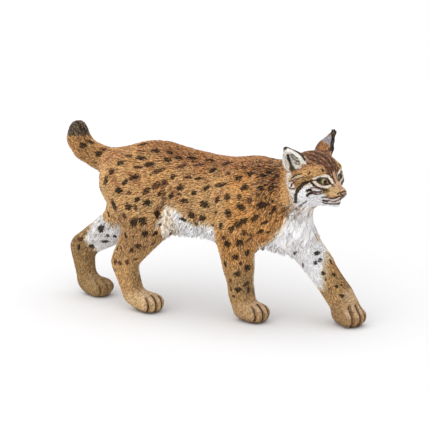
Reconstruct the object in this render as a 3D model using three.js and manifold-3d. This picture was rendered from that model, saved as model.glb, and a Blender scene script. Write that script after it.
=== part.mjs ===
// A moulded and painted lynx figurine, walking, with its head turned to its right.
// Millimetres. +X points the way the body faces, +Y to the animal's left, +Z up.
// The origin lies on the table, under the middle of the figure's bounding box.
//
// The animal is one rounded field, blended from masses that follow its bones. The field is
// turned into a faceted surface once for each named piece, at that piece's own fineness, and
// thin flat cuts part the pieces from each other.
import * as THREE from "three";
import { mergeVertices } from "three/addons/utils/BufferGeometryUtils.js";
import Module from "manifold-3d";

const wasm = await Module();
wasm.setup();
const { Manifold, Mesh } = wasm;

// Driving dimensions
const cutGap = 0.3; // width of the thin cuts between pieces
const skullCentre = [37.4, -2.6, 51.0];
const headYaw = -24; // degrees, towards the animal's right
const headPitch = 2; // nose down
const headRoll = 4; // right cheek down
const eyeRadius = 1.75;
const eyeSpot = [6.2, 3.95, 1.1]; // of the left eye, in the head's own frame
const eyeClearance = 0.3; // of the socket round the eye
const pawLength = 11.4;
const pawWidth = 8.8;
const pawHeight = 7.4;
const tableCentre = [-1.1, -0.8]; // middle of the bounding box in the frame the figure is drawn in

// Small vector helpers, on plain arrays
const radians = THREE.MathUtils.degToRad;
const along = (a, b, t) => a.map((v, i) => v + (b[i] - v) * t);

// A local frame: turned by yaw, pitch (nose down) and roll (right side down), then moved
function frame(centre, yaw = 0, pitch = 0, roll = 0) {
  const turn = new THREE.Matrix4()
    .makeRotationZ(radians(yaw))
    .multiply(new THREE.Matrix4().makeRotationY(radians(pitch)))
    .multiply(new THREE.Matrix4().makeRotationX(radians(roll)));
  return new THREE.Matrix4().makeTranslation(...centre).multiply(turn);
}
const headFrame = frame(skullCentre, headYaw, headPitch, headRoll);
const inHead = (p) => new THREE.Vector3(...p).applyMatrix4(headFrame).toArray();

// Signed distances. Each is a function of x, y, z, negative inside.
// An ellipsoid of three half-widths, turned by its own yaw, pitch and roll
function ellipsoid(centre, half, yaw = 0, pitch = 0, roll = 0, parent = null) {
  let world = frame(centre, yaw, pitch, roll);
  if (parent) world = parent.clone().multiply(world);
  const m = world.invert().elements;
  const [a, b, c] = half;
  return (x, y, z) => {
    const u = (m[0] * x + m[4] * y + m[8] * z + m[12]) / a;
    const v = (m[1] * x + m[5] * y + m[9] * z + m[13]) / b;
    const w = (m[2] * x + m[6] * y + m[10] * z + m[14]) / c;
    const k = Math.sqrt(u * u + v * v + w * w);
    const g = Math.sqrt((u / a) ** 2 + (v / b) ** 2 + (w / c) ** 2);
    return g < 1e-9 ? -Math.min(a, b, c) : (k * (k - 1)) / g;
  };
}

// A tapered limb with round ends, from a to b
function taper(a, b, ra, rb) {
  const [bx, by, bz] = b.map((v, i) => v - a[i]);
  const l2 = bx * bx + by * by + bz * bz;
  const rr = ra - rb;
  const a2 = l2 - rr * rr;
  return (x, y, z) => {
    const px = x - a[0];
    const py = y - a[1];
    const pz = z - a[2];
    const s = px * bx + py * by + pz * bz;
    const t = s - l2;
    const qx = px * l2 - bx * s;
    const qy = py * l2 - by * s;
    const qz = pz * l2 - bz * s;
    const x2 = qx * qx + qy * qy + qz * qz;
    const y2 = s * s * l2;
    const z2 = t * t * l2;
    const k = Math.sign(rr) * rr * rr * x2;
    if (Math.sign(t) * a2 * z2 > k) return Math.sqrt(x2 + z2) / l2 - rb;
    if (Math.sign(s) * a2 * y2 < k) return Math.sqrt(x2 + y2) / l2 - ra;
    return (Math.sqrt((x2 * a2) / l2) + s * rr) / l2 - ra;
  };
}

// A chain of tapers through [x, y, z, radius] stations
function limb(...stations) {
  const pieces = [];
  for (let i = 1; i < stations.length; i++) {
    const [p, q] = [stations[i - 1], stations[i]];
    pieces.push(taper(p.slice(0, 3), q.slice(0, 3), p[3], q[3]));
  }
  return blend(1.2, ...pieces);
}

// The lower of two distances, rounded over where they differ by less than k
function smoothLow(a, b, k) {
  const h = Math.max(k - Math.abs(a - b), 0) / k;
  return Math.min(a, b) - (h * h * k) / 4;
}

// Joins fields with a fillet of about k
function blend(k, ...fields) {
  return (x, y, z) => {
    let d = fields[0](x, y, z);
    for (let i = 1; i < fields.length; i++) d = smoothLow(d, fields[i](x, y, z), k);
    return d;
  };
}

// Takes the later fields out of the first, with a soft edge of about k
function carve(k, field, ...tools) {
  return (x, y, z) => {
    let d = field(x, y, z);
    for (const tool of tools) d = -smoothLow(-d, tool(x, y, z), k);
    return d;
  };
}

// Trunk: rump, hip bones, loin, rib cage, shoulder blades, brisket and the bib of the chest
const trunkField = blend(
  5,
  ellipsoid([-26, 0, 44.8], [12.4, 8.8, 11], 0, -4),
  ellipsoid([-18.5, 0, 49], [9.5, 7.2, 8.2], 0, 4),
  ellipsoid([-9, 0, 41.6], [22, 9.2, 14.6], 0, 4),
  ellipsoid([11, 0, 40.4], [19, 9.8, 13.8], 0, -2),
  ellipsoid([14, -5.6, 44], [8, 4.6, 10.5], 0, 12),
  ellipsoid([16, 5.6, 43], [8, 4.6, 10.5], 0, -12),
  ellipsoid([23, 0, 33.6], [9, 6.6, 8]),
  ellipsoid([27, -0.4, 37.2], [7.5, 8.2, 11.5], 0, -12),
);

// Neck: from between the shoulders to the back of the skull
const neckField = limb([18, 0, 45, 9.4], [27, -0.8, 45.8, 8.6], [34, -2, 48, 8]);

// Tail: short, carried out and then straight up, with a blunt tip
const tailField = limb(
  [-35, 0, 49, 4.4],
  [-41.5, 0.3, 50.4, 4.1],
  [-46.6, 0.5, 52.6, 3.9],
  [-49, 0.5, 56, 3.9],
  [-49, 0.5, 59.3, 3.3],
);

// Paws: a rounded pad with its heel, and a row of four toes fanned out before it
function pawField({ centre, yaw, size = 1 }) {
  const stand = frame(centre, yaw);
  const l = pawLength * size;
  const w = pawWidth * size;
  const h = pawHeight * size;
  const toes = [-1.5, -0.5, 0.5, 1.5].map((i) => {
    const inner = Math.abs(i) < 1;
    const spread = i * w * 0.225;
    const reach = l * (inner ? 0.24 : 0.14);
    const half = [l * 0.27, w * 0.155, h * (inner ? 0.43 : 0.38)];
    return ellipsoid([reach, spread, h * 0.4], half, i * 5, 14, 0, stand);
  });
  return blend(
    1.6,
    ellipsoid([-l * 0.13, 0, h * 0.45], [l * 0.44, w * 0.43, h * 0.5], 0, 0, 0, stand),
    blend(0.55, ...toes),
  );
}

// Legs. Bones are the joints from the body down, as [x, y, z, radius]. Each leg is cut from
// the body at its top and from its paw at the wrist: a point of the cut, the way it faces, and
// for the top the cut's size across.
const legs = {
  front_right: {
    bones: [
      [15.4, -6.4, 40, 8.2],
      [11.2, -7.4, 31, 6.6],
      [12.2, -6, 19, 5.2],
      [12.7, -4.8, 9.6, 4.3],
      [13.6, -4.6, 5, 4],
    ],
    paw: { centre: [16.8, -4.4, 0], yaw: -8 },
    wrist: { point: [13.2, -4.8, 7.4], way: [0.3, 0.05, -1] },
    top: { point: [11, -9.5, 30], way: [0.02, -0.6, -0.8], across: [23, 66] },
  },
  front_left: {
    bones: [
      [20, 6.2, 40, 7.8],
      [26.9, 5.6, 30, 6.1],
      [36.2, 4.8, 19.4, 5],
      [43.5, 4.2, 10.2, 4.6],
      [46.2, 3.8, 6.4, 4.6],
    ],
    paw: { centre: [47.4, 3.4, 0], yaw: -26, size: 1.04 },
    wrist: { point: [44, 4.2, 8.8], way: [0.75, -0.1, -0.75] },
    top: { point: [28.4, 6.4, 27.6], way: [0.62, 0.1, -0.78], across: [20, 20] },
  },
  hind_right: {
    bones: [
      [-28.7, -5.2, 44, 9.3],
      [-19.9, -8.6, 30.2, 7.1],
      [-28.6, -7.6, 16.8, 4.5],
      [-25.6, -7.3, 5.8, 3.7],
    ],
    paw: { centre: [-20.4, -7, 0], yaw: -10 },
    wrist: { point: [-25.4, -7.3, 6.8], way: [0.4, 0.02, -1] },
    top: { point: [-22, -10, 32], way: [-0.12, -0.5, -0.85], across: [25, 60] },
  },
  hind_left: {
    bones: [
      [-30.2, 5.2, 44, 8.9],
      [-35.3, 7.4, 26.7, 6.7],
      [-51, 6, 16.6, 4.2],
      [-48.8, 4.8, 5.6, 3.6],
    ],
    paw: { centre: [-44.6, 4.2, 0], yaw: -10 },
    wrist: { point: [-48.6, 4.8, 6.6], way: [0.4, 0.02, -1] },
    top: { point: [-40, 9, 29.5], way: [-0.35, 0.15, -0.9], across: [30, 22] },
  },
};

// Head, in its own frame: skull, brow, short muzzle, chin, and the cheeks with their ruff
const headMasses = (side) => [
  ellipsoid([-2.4, side * 6.2, -3.6], [5.8, 3.9, 6.4], side * 14, 0, side * 14, headFrame),
  ellipsoid([2.6, side * 3.9, -1.2], [4.6, 3.6, 4.2], 0, 0, 0, headFrame),
  ellipsoid([-4.4, side * 7.8, -6.6], [3.2, 2.2, 4.4], side * 20, -14, side * 18, headFrame),
];
const socketMasses = (side) => [
  ellipsoid([4.9, side * 3.4, 2.8], [2.6, 2.5, 1.5], side * 30, 0, 0, headFrame),
  ellipsoid([4.9, side * 3.9, -0.9], [2.7, 2.5, 1.5], side * 30, 0, 0, headFrame),
];
const muzzleField = blend(
  0.9,
  ellipsoid([8.6, 1.6, -4.1], [2.9, 1.9, 1.9], 10, 6, 0, headFrame),
  ellipsoid([8.6, -1.6, -4.1], [2.9, 1.9, 1.9], -10, 6, 0, headFrame),
  ellipsoid([8.2, 0, -2], [4.2, 2.1, 2.1], 0, 26, 0, headFrame),
  ellipsoid([11.2, 0, -3.6], [0.9, 1.3, 1], 0, 0, 0, headFrame),
  ellipsoid([7.4, 0, -7], [3, 2.2, 1.8], 0, 0, 0, headFrame),
  ellipsoid([3.4, 0, -6.6], [4.8, 3.6, 2.6], 0, 0, 0, headFrame),
  ...socketMasses(1),
  ...socketMasses(-1),
);
const skullField = blend(
  2.6,
  ellipsoid([-0.9, 0, 0.8], [9, 7.8, 7.2], 0, 0, 0, headFrame),
  ellipsoid([2.6, 0, 2], [5.6, 5, 4.6], 0, 30, 0, headFrame),
  ...headMasses(1),
  ...headMasses(-1),
);
const eyeCentre = (side) => inHead([eyeSpot[0], side * eyeSpot[1], eyeSpot[2]]);
const headField = blend(1.6, skullField, muzzleField);

// Ears: upright cups with pointed, tufted tips, open to the front and outwards
const ears = {
  left: { root: [-2.6, 4.8, 4.4], tip: [-1, 10.8, 12.2], turn: 74, width: 7.4 },
  right: { root: [-2.2, -5.5, 3.5], tip: [-4.7, -9.7, 10.7], turn: -70, width: 8.2 },
};
function earFrame({ root, tip, turn }) {
  const lean = new THREE.Vector3(...tip).sub(new THREE.Vector3(...root));
  const raise = new THREE.Quaternion().setFromUnitVectors(new THREE.Vector3(0, 0, 1), lean.normalize());
  return headFrame
    .clone()
    .multiply(new THREE.Matrix4().makeTranslation(...root))
    .multiply(new THREE.Matrix4().makeRotationFromQuaternion(raise))
    .multiply(new THREE.Matrix4().makeRotationZ(radians(turn)));
}
function earField(ear) {
  const stand = earFrame(ear);
  const tall = Math.hypot(...ear.tip.map((v, i) => v - ear.root[i]));
  const half = ear.width / 2;
  const shell = blend(
    1.2,
    ellipsoid([0, 0, tall * 0.32], [2.7, half, tall * 0.42], 0, 0, 0, stand),
    ellipsoid([-0.4, 0, tall * 0.58], [1.5, half * 0.52, tall * 0.32], 0, 0, 0, stand),
    ellipsoid([-0.5, 0, tall * 0.88], [0.8, 0.9, tall * 0.16], 0, 0, 0, stand),
  );
  const cup = blend(
    1,
    ellipsoid([1.7, 0, tall * 0.34], [2.7, half * 0.71, tall * 0.36], 0, 0, 0, stand),
    ellipsoid([1.3, 0, tall * 0.56], [1.7, half * 0.3, tall * 0.26], 0, 0, 0, stand),
  );
  return carve(0.5, shell, cup);
}

// The whole animal, but for its ears
const coreField = blend(
  3.2,
  trunkField,
  neckField,
  tailField,
  ...Object.values(legs).map((leg) => limb(...leg.bones)),
);
const pawFields = Object.values(legs).map((leg) => pawField(leg.paw));
const bodyField = blend(1.6, coreField, headField, ...pawFields);

// A closed faceted surface of a field inside a box. The box and its grid lie in the frame of
// stand, and step holds the grid's three spacings.
function facet(field, low, high, step, stand = new THREE.Matrix4()) {
  const size = low.map((v, n) => Math.ceil((high[n] - v) / step[n]) + 3);
  const [nx, ny, nz] = size;
  const at = (i, j, k) => i + nx * (j + ny * k);
  const place = (...cell) => {
    const local = cell.map((v, n) => low[n] + (v - 1) * step[n]);
    return new THREE.Vector3(...local).applyMatrix4(stand).toArray();
  };
  const onRim = (cell, last) => cell.some((v, n) => v === 0 || v === size[n] - last);
  const finest = Math.min(...step);
  const values = new Float64Array(nx * ny * nz);
  for (let k = 0; k < nz; k++)
    for (let j = 0; j < ny; j++)
      for (let i = 0; i < nx; i++)
        values[at(i, j, k)] = onRim([i, j, k], 1) ? finest : field(...place(i, j, k));
  openCorners(values, size, finest);
  const corners = [0, 1, nx, nx + 1, nx * ny, nx * ny + 1, nx * ny + nx, nx * ny + nx + 1];
  const bits = (n) => [n & 1, (n >> 1) & 1, n >> 2];
  const edges = [];
  for (let a = 0; a < 8; a++) for (const bit of [1, 2, 4]) if (!(a & bit)) edges.push([a, a + bit]);
  const found = new Map();
  const points = [];
  for (let k = 0; k < nz - 1; k++)
    for (let j = 0; j < ny - 1; j++)
      for (let i = 0; i < nx - 1; i++) {
        const base = at(i, j, k);
        const inside = corners.map((c) => values[base + c] < 0);
        if (inside.every((v) => v === inside[0])) continue;
        const crossings = edges.filter(([a, b]) => inside[a] !== inside[b]);
        const middle = [0, 0, 0];
        for (const [a, b] of crossings) {
          const va = values[base + corners[a]];
          const t = va / (va - values[base + corners[b]]);
          const spot = along(bits(a), bits(b), t);
          spot.forEach((v, n) => (middle[n] += v / crossings.length));
        }
        const spot = place(i + middle[0], j + middle[1], k + middle[2]);
        found.set(base, points.length / 3);
        points.push(...(onRim([i, j, k], 2) ? spot : settle(field, spot, finest)));
      }
  const index = [];
  const around = [
    [1, nx, nx * ny],
    [nx, nx * ny, 1],
    [nx * ny, 1, nx],
  ];
  for (let k = 0; k < nz - 1; k++)
    for (let j = 0; j < ny - 1; j++)
      for (let i = 0; i < nx - 1; i++)
        for (const [ahead, side, rise] of around) {
          const base = at(i, j, k);
          const here = values[base] < 0;
          if (here === values[base + ahead] < 0) continue;
          const ring = [base - side - rise, base - rise, base, base - side].map((c) => found.get(c));
          addQuad(index, points, here ? ring : ring.reverse());
        }
  return solidOf({ points: new Float32Array(points), index: new Uint32Array(index) });
}

// Where two inside corners of a grid square meet only across its diagonal, one more corner is
// taken as inside, so that no edge of the surface is shared by four facets
function openCorners(values, [nx, ny, nz], step) {
  const strides = [1, nx, nx * ny];
  let changed = true;
  while (changed) {
    changed = false;
    for (let k = 1; k < nz - 2; k++)
      for (let j = 1; j < ny - 2; j++)
        for (let i = 1; i < nx - 2; i++) {
          const base = i + nx * (j + ny * k);
          for (const [a, b] of [[0, 1], [1, 2], [0, 2]]) {
            const ring = [0, strides[a], strides[a] + strides[b], strides[b]].map((s) => base + s);
            const signs = ring.map((c) => values[c] < 0);
            if (signs[0] !== signs[2] || signs[1] !== signs[3] || signs[0] === signs[1]) continue;
            const outside = ring.filter((c) => values[c] >= 0);
            outside.sort((c, d) => values[c] - values[d]);
            values[outside[0]] = -step * 0.01;
            changed = true;
          }
        }
  }
}

// Moves a point onto the field's surface, by no more than half a step
function settle(field, p, step) {
  const start = [...p];
  const e = step * 0.05;
  for (let n = 0; n < 3; n++) {
    const d = field(...p);
    const g = [0, 1, 2].map((i) => {
      const q = [...p];
      q[i] += e;
      return (field(...q) - d) / e;
    });
    const g2 = g.reduce((sum, v) => sum + v * v, 0);
    if (g2 < 1e-6) break;
    p = p.map((v, i) => v - (d * g[i]) / g2);
  }
  const far = Math.hypot(...p.map((v, i) => v - start[i]));
  const share = far > step / 2 ? step / 2 / far : 1;
  return start.map((v, i) => v + (p[i] - v) * share);
}

// Splits a four-sided facet along its shorter diagonal
function addQuad(index, points, [a, b, c, d]) {
  const far = (p, q) => {
    const gap = [0, 1, 2].map((i) => points[3 * p + i] - points[3 * q + i]);
    return Math.hypot(...gap);
  };
  if (far(a, c) < far(b, d)) index.push(a, b, c, a, c, d);
  else index.push(a, b, d, b, c, d);
}

function solidOf({ points, index }) {
  return new Manifold(new Mesh({ numProp: 3, vertProperties: points, triVerts: index }));
}

function solidFrom(geometry) {
  const bare = geometry.clone();
  bare.deleteAttribute("normal");
  bare.deleteAttribute("uv");
  const merged = mergeVertices(bare);
  return solidOf({ points: merged.attributes.position.array, index: new Uint32Array(merged.index.array) });
}

// A block whose near face holds a point and which reaches away from it
function blockFrom(point, way, [wide, deep], reach) {
  const direction = new THREE.Vector3(...way).normalize();
  const turn = new THREE.Quaternion().setFromUnitVectors(new THREE.Vector3(0, 0, -1), direction);
  const block = new THREE.BoxGeometry(wide, deep, reach);
  block.translate(0, 0, -reach / 2);
  block.applyQuaternion(turn);
  block.translate(...point);
  return solidFrom(block);
}

// The two sides of a thin cut: the piece beyond it, and what is left before it
function cutAt({ point, way, across: [wide, deep], reach }) {
  const direction = new THREE.Vector3(...way).normalize();
  const shift = (by) => new THREE.Vector3(...point).addScaledVector(direction, by).toArray();
  return {
    beyond: blockFrom(shift(cutGap / 2), way, [wide, deep], reach),
    before: blockFrom(shift(-cutGap / 2), way, [wide + 2 * cutGap, deep + 2 * cutGap], reach + cutGap),
  };
}

// All below the level that the figure stands on
const table = solidFrom(new THREE.BoxGeometry(300, 300, 40).translate(0, 0, -20));

function material(colour, roughness) {
  return new THREE.MeshStandardMaterial({ color: new THREE.Color(colour), roughness, metalness: 0 });
}
const coatPaint = material("#b1875d", 0.7);
const earPaint = material("#9a6b42", 0.7);
const pawPaint = material("#9b7b58", 0.7);
const eyePaint = material("#706b33", 0.3);

const figure = new THREE.Group();

// Adds a solid to the figure as a named piece, moved so that the figure stands centred
function addPiece(name, solid, finish) {
  const bodies = solid.decompose().sort((a, b) => b.volume() - a.volume());
  const mesh = bodies[0].getMesh();
  const geometry = new THREE.BufferGeometry();
  geometry.setAttribute("position", new THREE.BufferAttribute(new Float32Array(mesh.vertProperties), 3));
  geometry.setIndex(new THREE.BufferAttribute(new Uint32Array(mesh.triVerts), 1));
  geometry.computeVertexNormals();
  geometry.translate(-tableCentre[0], -tableCentre[1], 0);
  const piece = new THREE.Mesh(geometry, finish);
  piece.name = name;
  figure.add(piece);
}

// Cuts
const broad = { across: [60, 60], reach: 60 };
const neckCut = cutAt({ point: [20.5, 0, 46], way: [0.96, -0.05, 0.28], ...broad });
const headCut = cutAt({ point: inHead([-6.2, 0, -1]), way: [0.88, -0.36, 0.1], ...broad });
const jawCut = cutAt({ point: inHead([0, 0, -9.4]), way: [0.3, -0.1, 0.95], ...broad });
const tailCut = cutAt({ point: [-39.4, 0, 50.2], way: [-0.98, 0, 0.2], across: [22, 22], reach: 40 });
const legCuts = Object.fromEntries(
  Object.entries(legs).map(([name, leg]) => [name, {
    leg: cutAt({ ...leg.top, reach: 60 }),
    paw: cutAt({ ...leg.wrist, across: [17, 17], reach: 20 }),
  }]),
);

// Fineness of the facets of each kind of piece
const even = (step) => [step, step, step];
const trunkStep = even(3.9);
const neckStep = even(3);
const tailStep = even(2.2);
const legStep = even(2.5);
const pawStep = [1.6, 1.2, 1.6];
const headStep = [1.5, 1.5, 1.5];
const earStep = [0.8, 1.1, 1.1];

// Trunk
{
  let trunk = facet(bodyField, [-47, -18, 18], [38, 18, 62], trunkStep);
  trunk = trunk.subtract(neckCut.before).subtract(tailCut.before);
  for (const { leg } of Object.values(legCuts)) trunk = trunk.subtract(leg.before);
  addPiece("trunk", trunk, coatPaint);
}

// Tail
{
  const tail = facet(bodyField, [-56, -7, 42], [-36, 8, 66], tailStep);
  addPiece("tail", tail.intersect(tailCut.beyond), coatPaint);
}

// Legs and paws
for (const [name, { leg: legCut, paw: pawCut }] of Object.entries(legCuts)) {
  const [kind, side] = name.split("_");
  const { bones, paw } = legs[name];
  const span = kind === "hind" ? [-58, -8] : [0, 54];
  const sides = side === "right" ? [-17, 1.5] : [-1, 16];
  const low = [span[0], sides[0], -2];
  const high = [span[1], sides[1], 38];
  const leg = facet(blend(1.6, coreField, pawField(paw)), low, high, legStep);
  addPiece(
    `${kind}_leg_${side}`,
    leg.intersect(legCut.beyond).subtract(pawCut.before).subtract(table),
    coatPaint,
  );
  const foot = facet(
    blend(1.6, limb(...bones), pawField(paw)),
    [-12, -8, -2],
    [9, 8, 14],
    pawStep,
    frame(paw.centre, paw.yaw),
  );
  addPiece(`${kind}_paw_${side}`, foot.intersect(pawCut.beyond).subtract(table), pawPaint);
}

// Neck, with the bib of the chest
{
  let neck = facet(bodyField, [12, -16, 20], [44, 16, 62], neckStep);
  neck = neck.intersect(neckCut.beyond).subtract(headCut.before.intersect(jawCut.before));
  neck = neck.subtract(legCuts.front_left.leg.before).subtract(legCuts.front_right.leg.before);
  addPiece("neck", neck, coatPaint);
}

// Head, with a socket for each eye
const headBox = [[-14, -14, -15], [15, 14, 12]];
const eyeSolid = (side, radius) =>
  solidFrom(new THREE.SphereGeometry(radius, 12, 8).translate(...eyeCentre(side)));
{
  let head = facet(bodyField, ...headBox, headStep, headFrame);
  head = head.intersect(headCut.beyond).intersect(jawCut.beyond);
  for (const side of [1, -1]) head = head.subtract(eyeSolid(side, eyeRadius + eyeClearance));
  addPiece("head", head, coatPaint);
}

// Ears, each seated on the scalp with a thin gap under it
const grownHead = (x, y, z) => bodyField(x, y, z) - cutGap;
const scalp = facet(grownHead, ...headBox, headStep, headFrame);
for (const [name, ear] of Object.entries(ears)) {
  const shell = facet(earField(ear), [-4, -6, -4], [4, 6, 13], earStep, earFrame(ear));
  addPiece(`ear_${name}`, shell.subtract(scalp), earPaint);
}

// Eyes
for (const [name, side] of [["left", 1], ["right", -1]]) {
  addPiece(`eye_${name}`, eyeSolid(side, eyeRadius), eyePaint);
}

export default figure;
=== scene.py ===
import math
import bpy
import numpy as np
from mathutils import Euler, Matrix, Vector
from mathutils.bvhtree import BVHTree


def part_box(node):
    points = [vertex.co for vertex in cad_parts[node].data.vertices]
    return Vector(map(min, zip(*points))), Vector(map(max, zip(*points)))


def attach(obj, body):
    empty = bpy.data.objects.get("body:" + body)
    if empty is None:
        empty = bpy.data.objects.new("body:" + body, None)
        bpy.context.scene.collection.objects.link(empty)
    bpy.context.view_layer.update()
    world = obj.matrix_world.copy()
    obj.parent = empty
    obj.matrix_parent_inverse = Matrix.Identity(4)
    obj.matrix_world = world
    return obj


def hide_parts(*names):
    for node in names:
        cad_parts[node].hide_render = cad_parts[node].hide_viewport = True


# A moulded and painted lynx figurine. Shapes are worked out in millimetres and stored in metres.
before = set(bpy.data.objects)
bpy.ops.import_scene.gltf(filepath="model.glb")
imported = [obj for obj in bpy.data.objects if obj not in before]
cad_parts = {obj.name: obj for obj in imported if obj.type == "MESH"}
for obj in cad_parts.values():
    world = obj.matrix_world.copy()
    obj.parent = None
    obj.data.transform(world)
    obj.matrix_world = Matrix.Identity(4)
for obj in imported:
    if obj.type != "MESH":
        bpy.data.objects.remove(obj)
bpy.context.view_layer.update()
mm = 0.001
dice = np.random.default_rng(7)
print("frame loaded")

# The photograph's view: a long lens from the figure's right and a little in front
view = {"target": (2.1, 0.7, 34.3), "azimuth": 22, "elevation": 14, "distance": 620, "lens": 156.4}
# The head's own frame: its centre in the body's frame, and how it is turned
headPlace = {"centre": (38.5, -1.8, 51.0), "yaw": -24, "nose down": 2, "right side down": 4}
skinShape = {
    "grow": 0.25,  # closes the thin cuts between the solids
    "voxel": 0.6,
    "smooth rounds": 34, "softness rounds": 10, "ear rounds": 4, "depth rounds": 8,
    "eye filler": 1.6,  # radius of a ball that closes each eye socket
    "less where soft": 0.12,  # smoothing has drawn the soft places in already
    "fine ears": 0.3,  # the share of an ear from which the skin is made finer
    "fine face": (5.5, 42),  # ahead of this in the head's frame, and above this in the body's
}
coatDepth = {"trunk": 0.28, "neck": 0.3, "leg": 0.14, "tail": 0.2, "paw": 0.04, "head": 0.16, "ear": 0.05}
fleshNodes = [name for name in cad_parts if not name.startswith("eye")]


# Small helpers
def pick(*pieces):
    bpy.ops.object.select_all(action="DESELECT")
    for piece in pieces:
        piece.select_set(True)
    bpy.context.view_layer.objects.active = pieces[0]


def linked(name, mesh):
    piece = bpy.data.objects.new(name, mesh)
    bpy.context.scene.collection.objects.link(piece)
    return piece


def applyModifier(piece, kind, **settings):
    pick(piece)
    modifier = piece.modifiers.new(kind.title(), kind)
    for key, value in settings.items():
        setattr(modifier, key, value)
    bpy.ops.object.modifier_apply(modifier=modifier.name)


def readAll(items, field, width, kind=np.float32):
    values = np.empty(len(items) * width, kind)
    items.foreach_get(field, values)
    return values.reshape(-1, width)


def pointsOf(mesh):
    return readAll(mesh.vertices, "co", 3).astype(float) / mm


def normalsOf(mesh):
    return readAll(mesh.vertex_normals, "vector", 3).astype(float)


def edgesOf(mesh):
    return readAll(mesh.edges, "vertices", 2, np.int32)


def flat(values, kind=np.float32):
    return values.astype(kind).ravel()


def setPoints(mesh, points):
    mesh.vertices.foreach_set("co", flat(points * mm))
    mesh.update()


def unit(vectors):
    return vectors / np.maximum(np.linalg.norm(vectors, axis=-1, keepdims=True), 1e-9)


def dot(a, b):
    return (a * b).sum(-1)


def ramp(low, high, value):
    t = np.clip((value - low) / (high - low), 0, 1)
    return t * t * (3 - 2 * t)


def headMatrix():
    side, nose, yaw = (math.radians(headPlace[key]) for key in ("right side down", "nose down", "yaw"))
    return np.array(Matrix.Rotation(yaw, 3, "Z") @ Euler((side, nose, 0)).to_matrix())


headTurn = headMatrix()
headCentre = np.array(headPlace["centre"])


def toHead(points):
    return (points - headCentre) @ headTurn


def fromHead(points):
    return np.asarray(points, float) @ headTurn.T + headCentre


# Folds the head's right half onto its left, so that one set of paths serves both
def foldOver(head):
    return head * (1, 0, 1) + np.abs(head[:, 1:2]) * (0, 1, 0)


# Soft seeded noise from a few crossed waves, about -1 to 1
def ripple(points, size, seed=0):
    waves = np.random.default_rng(seed + 100)
    total = 0
    for _ in range(6):
        way = waves.normal(size=3)
        way *= 2 * math.pi / size / np.linalg.norm(way) * waves.uniform(0.6, 1.5)
        total = total + np.sin(points @ way + waves.uniform(0, 6.28) + 1.3 * np.sin(points @ way[::-1]))
    return total / 3.2


def segmentDistance(points, start, end):
    way = end - start
    t = np.clip((points - start) @ way / max(way @ way, 1e-9), 0, 1)
    return np.linalg.norm(points - start - t[:, None] * way, axis=1)


# Distance from a path for the points in its box, widened by reach, and 99 for all others
def nearPath(points, path, reach):
    path = np.asarray(path, float)
    far = np.full(len(points), 99.0)
    low, high = path.min(0) - reach, path.max(0) + reach
    near = np.flatnonzero(((points > low) & (points < high)).all(1))
    if len(near):
        close = points[near]
        far[near] = np.min([segmentDistance(close, a, b) for a, b in zip(path[:-1], path[1:])], 0)
    return far


# 1 along a painted line, falling to 0 at its edge
def strokeValue(points, path, width):
    return 1 - nearPath(points, path, 3 * width) / width


def addCamera():
    azimuth, elevation = math.radians(view["azimuth"]), math.radians(view["elevation"])
    back = Vector((
        math.sin(azimuth) * math.cos(elevation),
        -math.cos(azimuth) * math.cos(elevation),
        math.sin(elevation),
    ))
    target = Vector(view["target"]) * mm
    bpy.ops.object.camera_add(location=target + back * view["distance"] * mm)
    camera = bpy.context.object
    camera.rotation_euler = back.to_track_quat("Z", "Y").to_euler()
    camera.data.lens = view["lens"]
    camera.data.sensor_width = 36
    camera.data.clip_start = 0.01
    bpy.context.scene.camera = camera


# White floor, white surroundings, one broad soft light from above and a weak fill, in metres
studio = {
    "floor": 6.0, "floor colour": (0.828, 0.828, 0.836, 1), "world": 0.63,
    "sun": 2.05, "sun angle": 100, "sun from": (-0.1, -0.36, 0.93),
    "fill": 0.5, "fill size": 0.6, "fill place": (-0.2, -0.8, 0.3), "fill target": (0, 0, 0.04),
}


def addStudio():
    bpy.ops.mesh.primitive_plane_add(size=studio["floor"])
    floor = bpy.context.object
    floor.name = "studioFloor"
    paper = bpy.data.materials.new("whitePaper")
    paper.use_nodes = True
    shader = paper.node_tree.nodes["Principled BSDF"]
    shader.inputs["Base Color"].default_value = studio["floor colour"]
    shader.inputs["Roughness"].default_value = 0.9
    floor.data.materials.append(paper)
    world = bpy.data.worlds.new("studioWorld")
    world.use_nodes = True
    world.node_tree.nodes["Background"].inputs["Color"].default_value = (1, 1, 1, 1)
    world.node_tree.nodes["Background"].inputs["Strength"].default_value = studio["world"]
    bpy.context.scene.world = world
    bpy.ops.object.light_add(type="SUN", location=(0, 0, 1))
    sun = bpy.context.object
    sun.name = "softSun"
    sun.data.energy = studio["sun"]
    sun.data.angle = math.radians(studio["sun angle"])
    sun.rotation_euler = Vector(studio["sun from"]).to_track_quat("Z", "Y").to_euler()
    bpy.ops.object.light_add(type="AREA", location=studio["fill place"])
    fill = bpy.context.object
    fill.name = "fillLamp"
    fill.data.size = studio["fill size"]
    fill.data.energy = studio["fill"]
    fill.rotation_euler = (fill.location - Vector(studio["fill target"])).to_track_quat("Z", "Y").to_euler()
    bpy.context.scene.view_settings.view_transform = "Standard"


addCamera()
addStudio()
print("camera and studio set")


# Skin: the flesh solids grown into one closed surface, smoothed and drawn in by the coat's depth
def nodeLookup():
    corners, faces, owners = [], [], []
    for number, name in enumerate(fleshNodes):
        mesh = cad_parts[name].data
        start = len(corners)
        corners.extend((vertex.co / mm)[:] for vertex in mesh.vertices)
        faces.extend([start + v for v in face.vertices] for face in mesh.polygons)
        owners.extend([number] * len(mesh.polygons))
    return BVHTree.FromPolygons(corners, faces), np.array(owners)


def nodeOf(points):
    tree, owners = lookup
    return owners[[tree.find_nearest(p)[2] for p in points.tolist()]]


def isPart(labels, *names):
    return np.isin(labels, [i for i, name in enumerate(fleshNodes) if name.startswith(names)])


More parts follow.
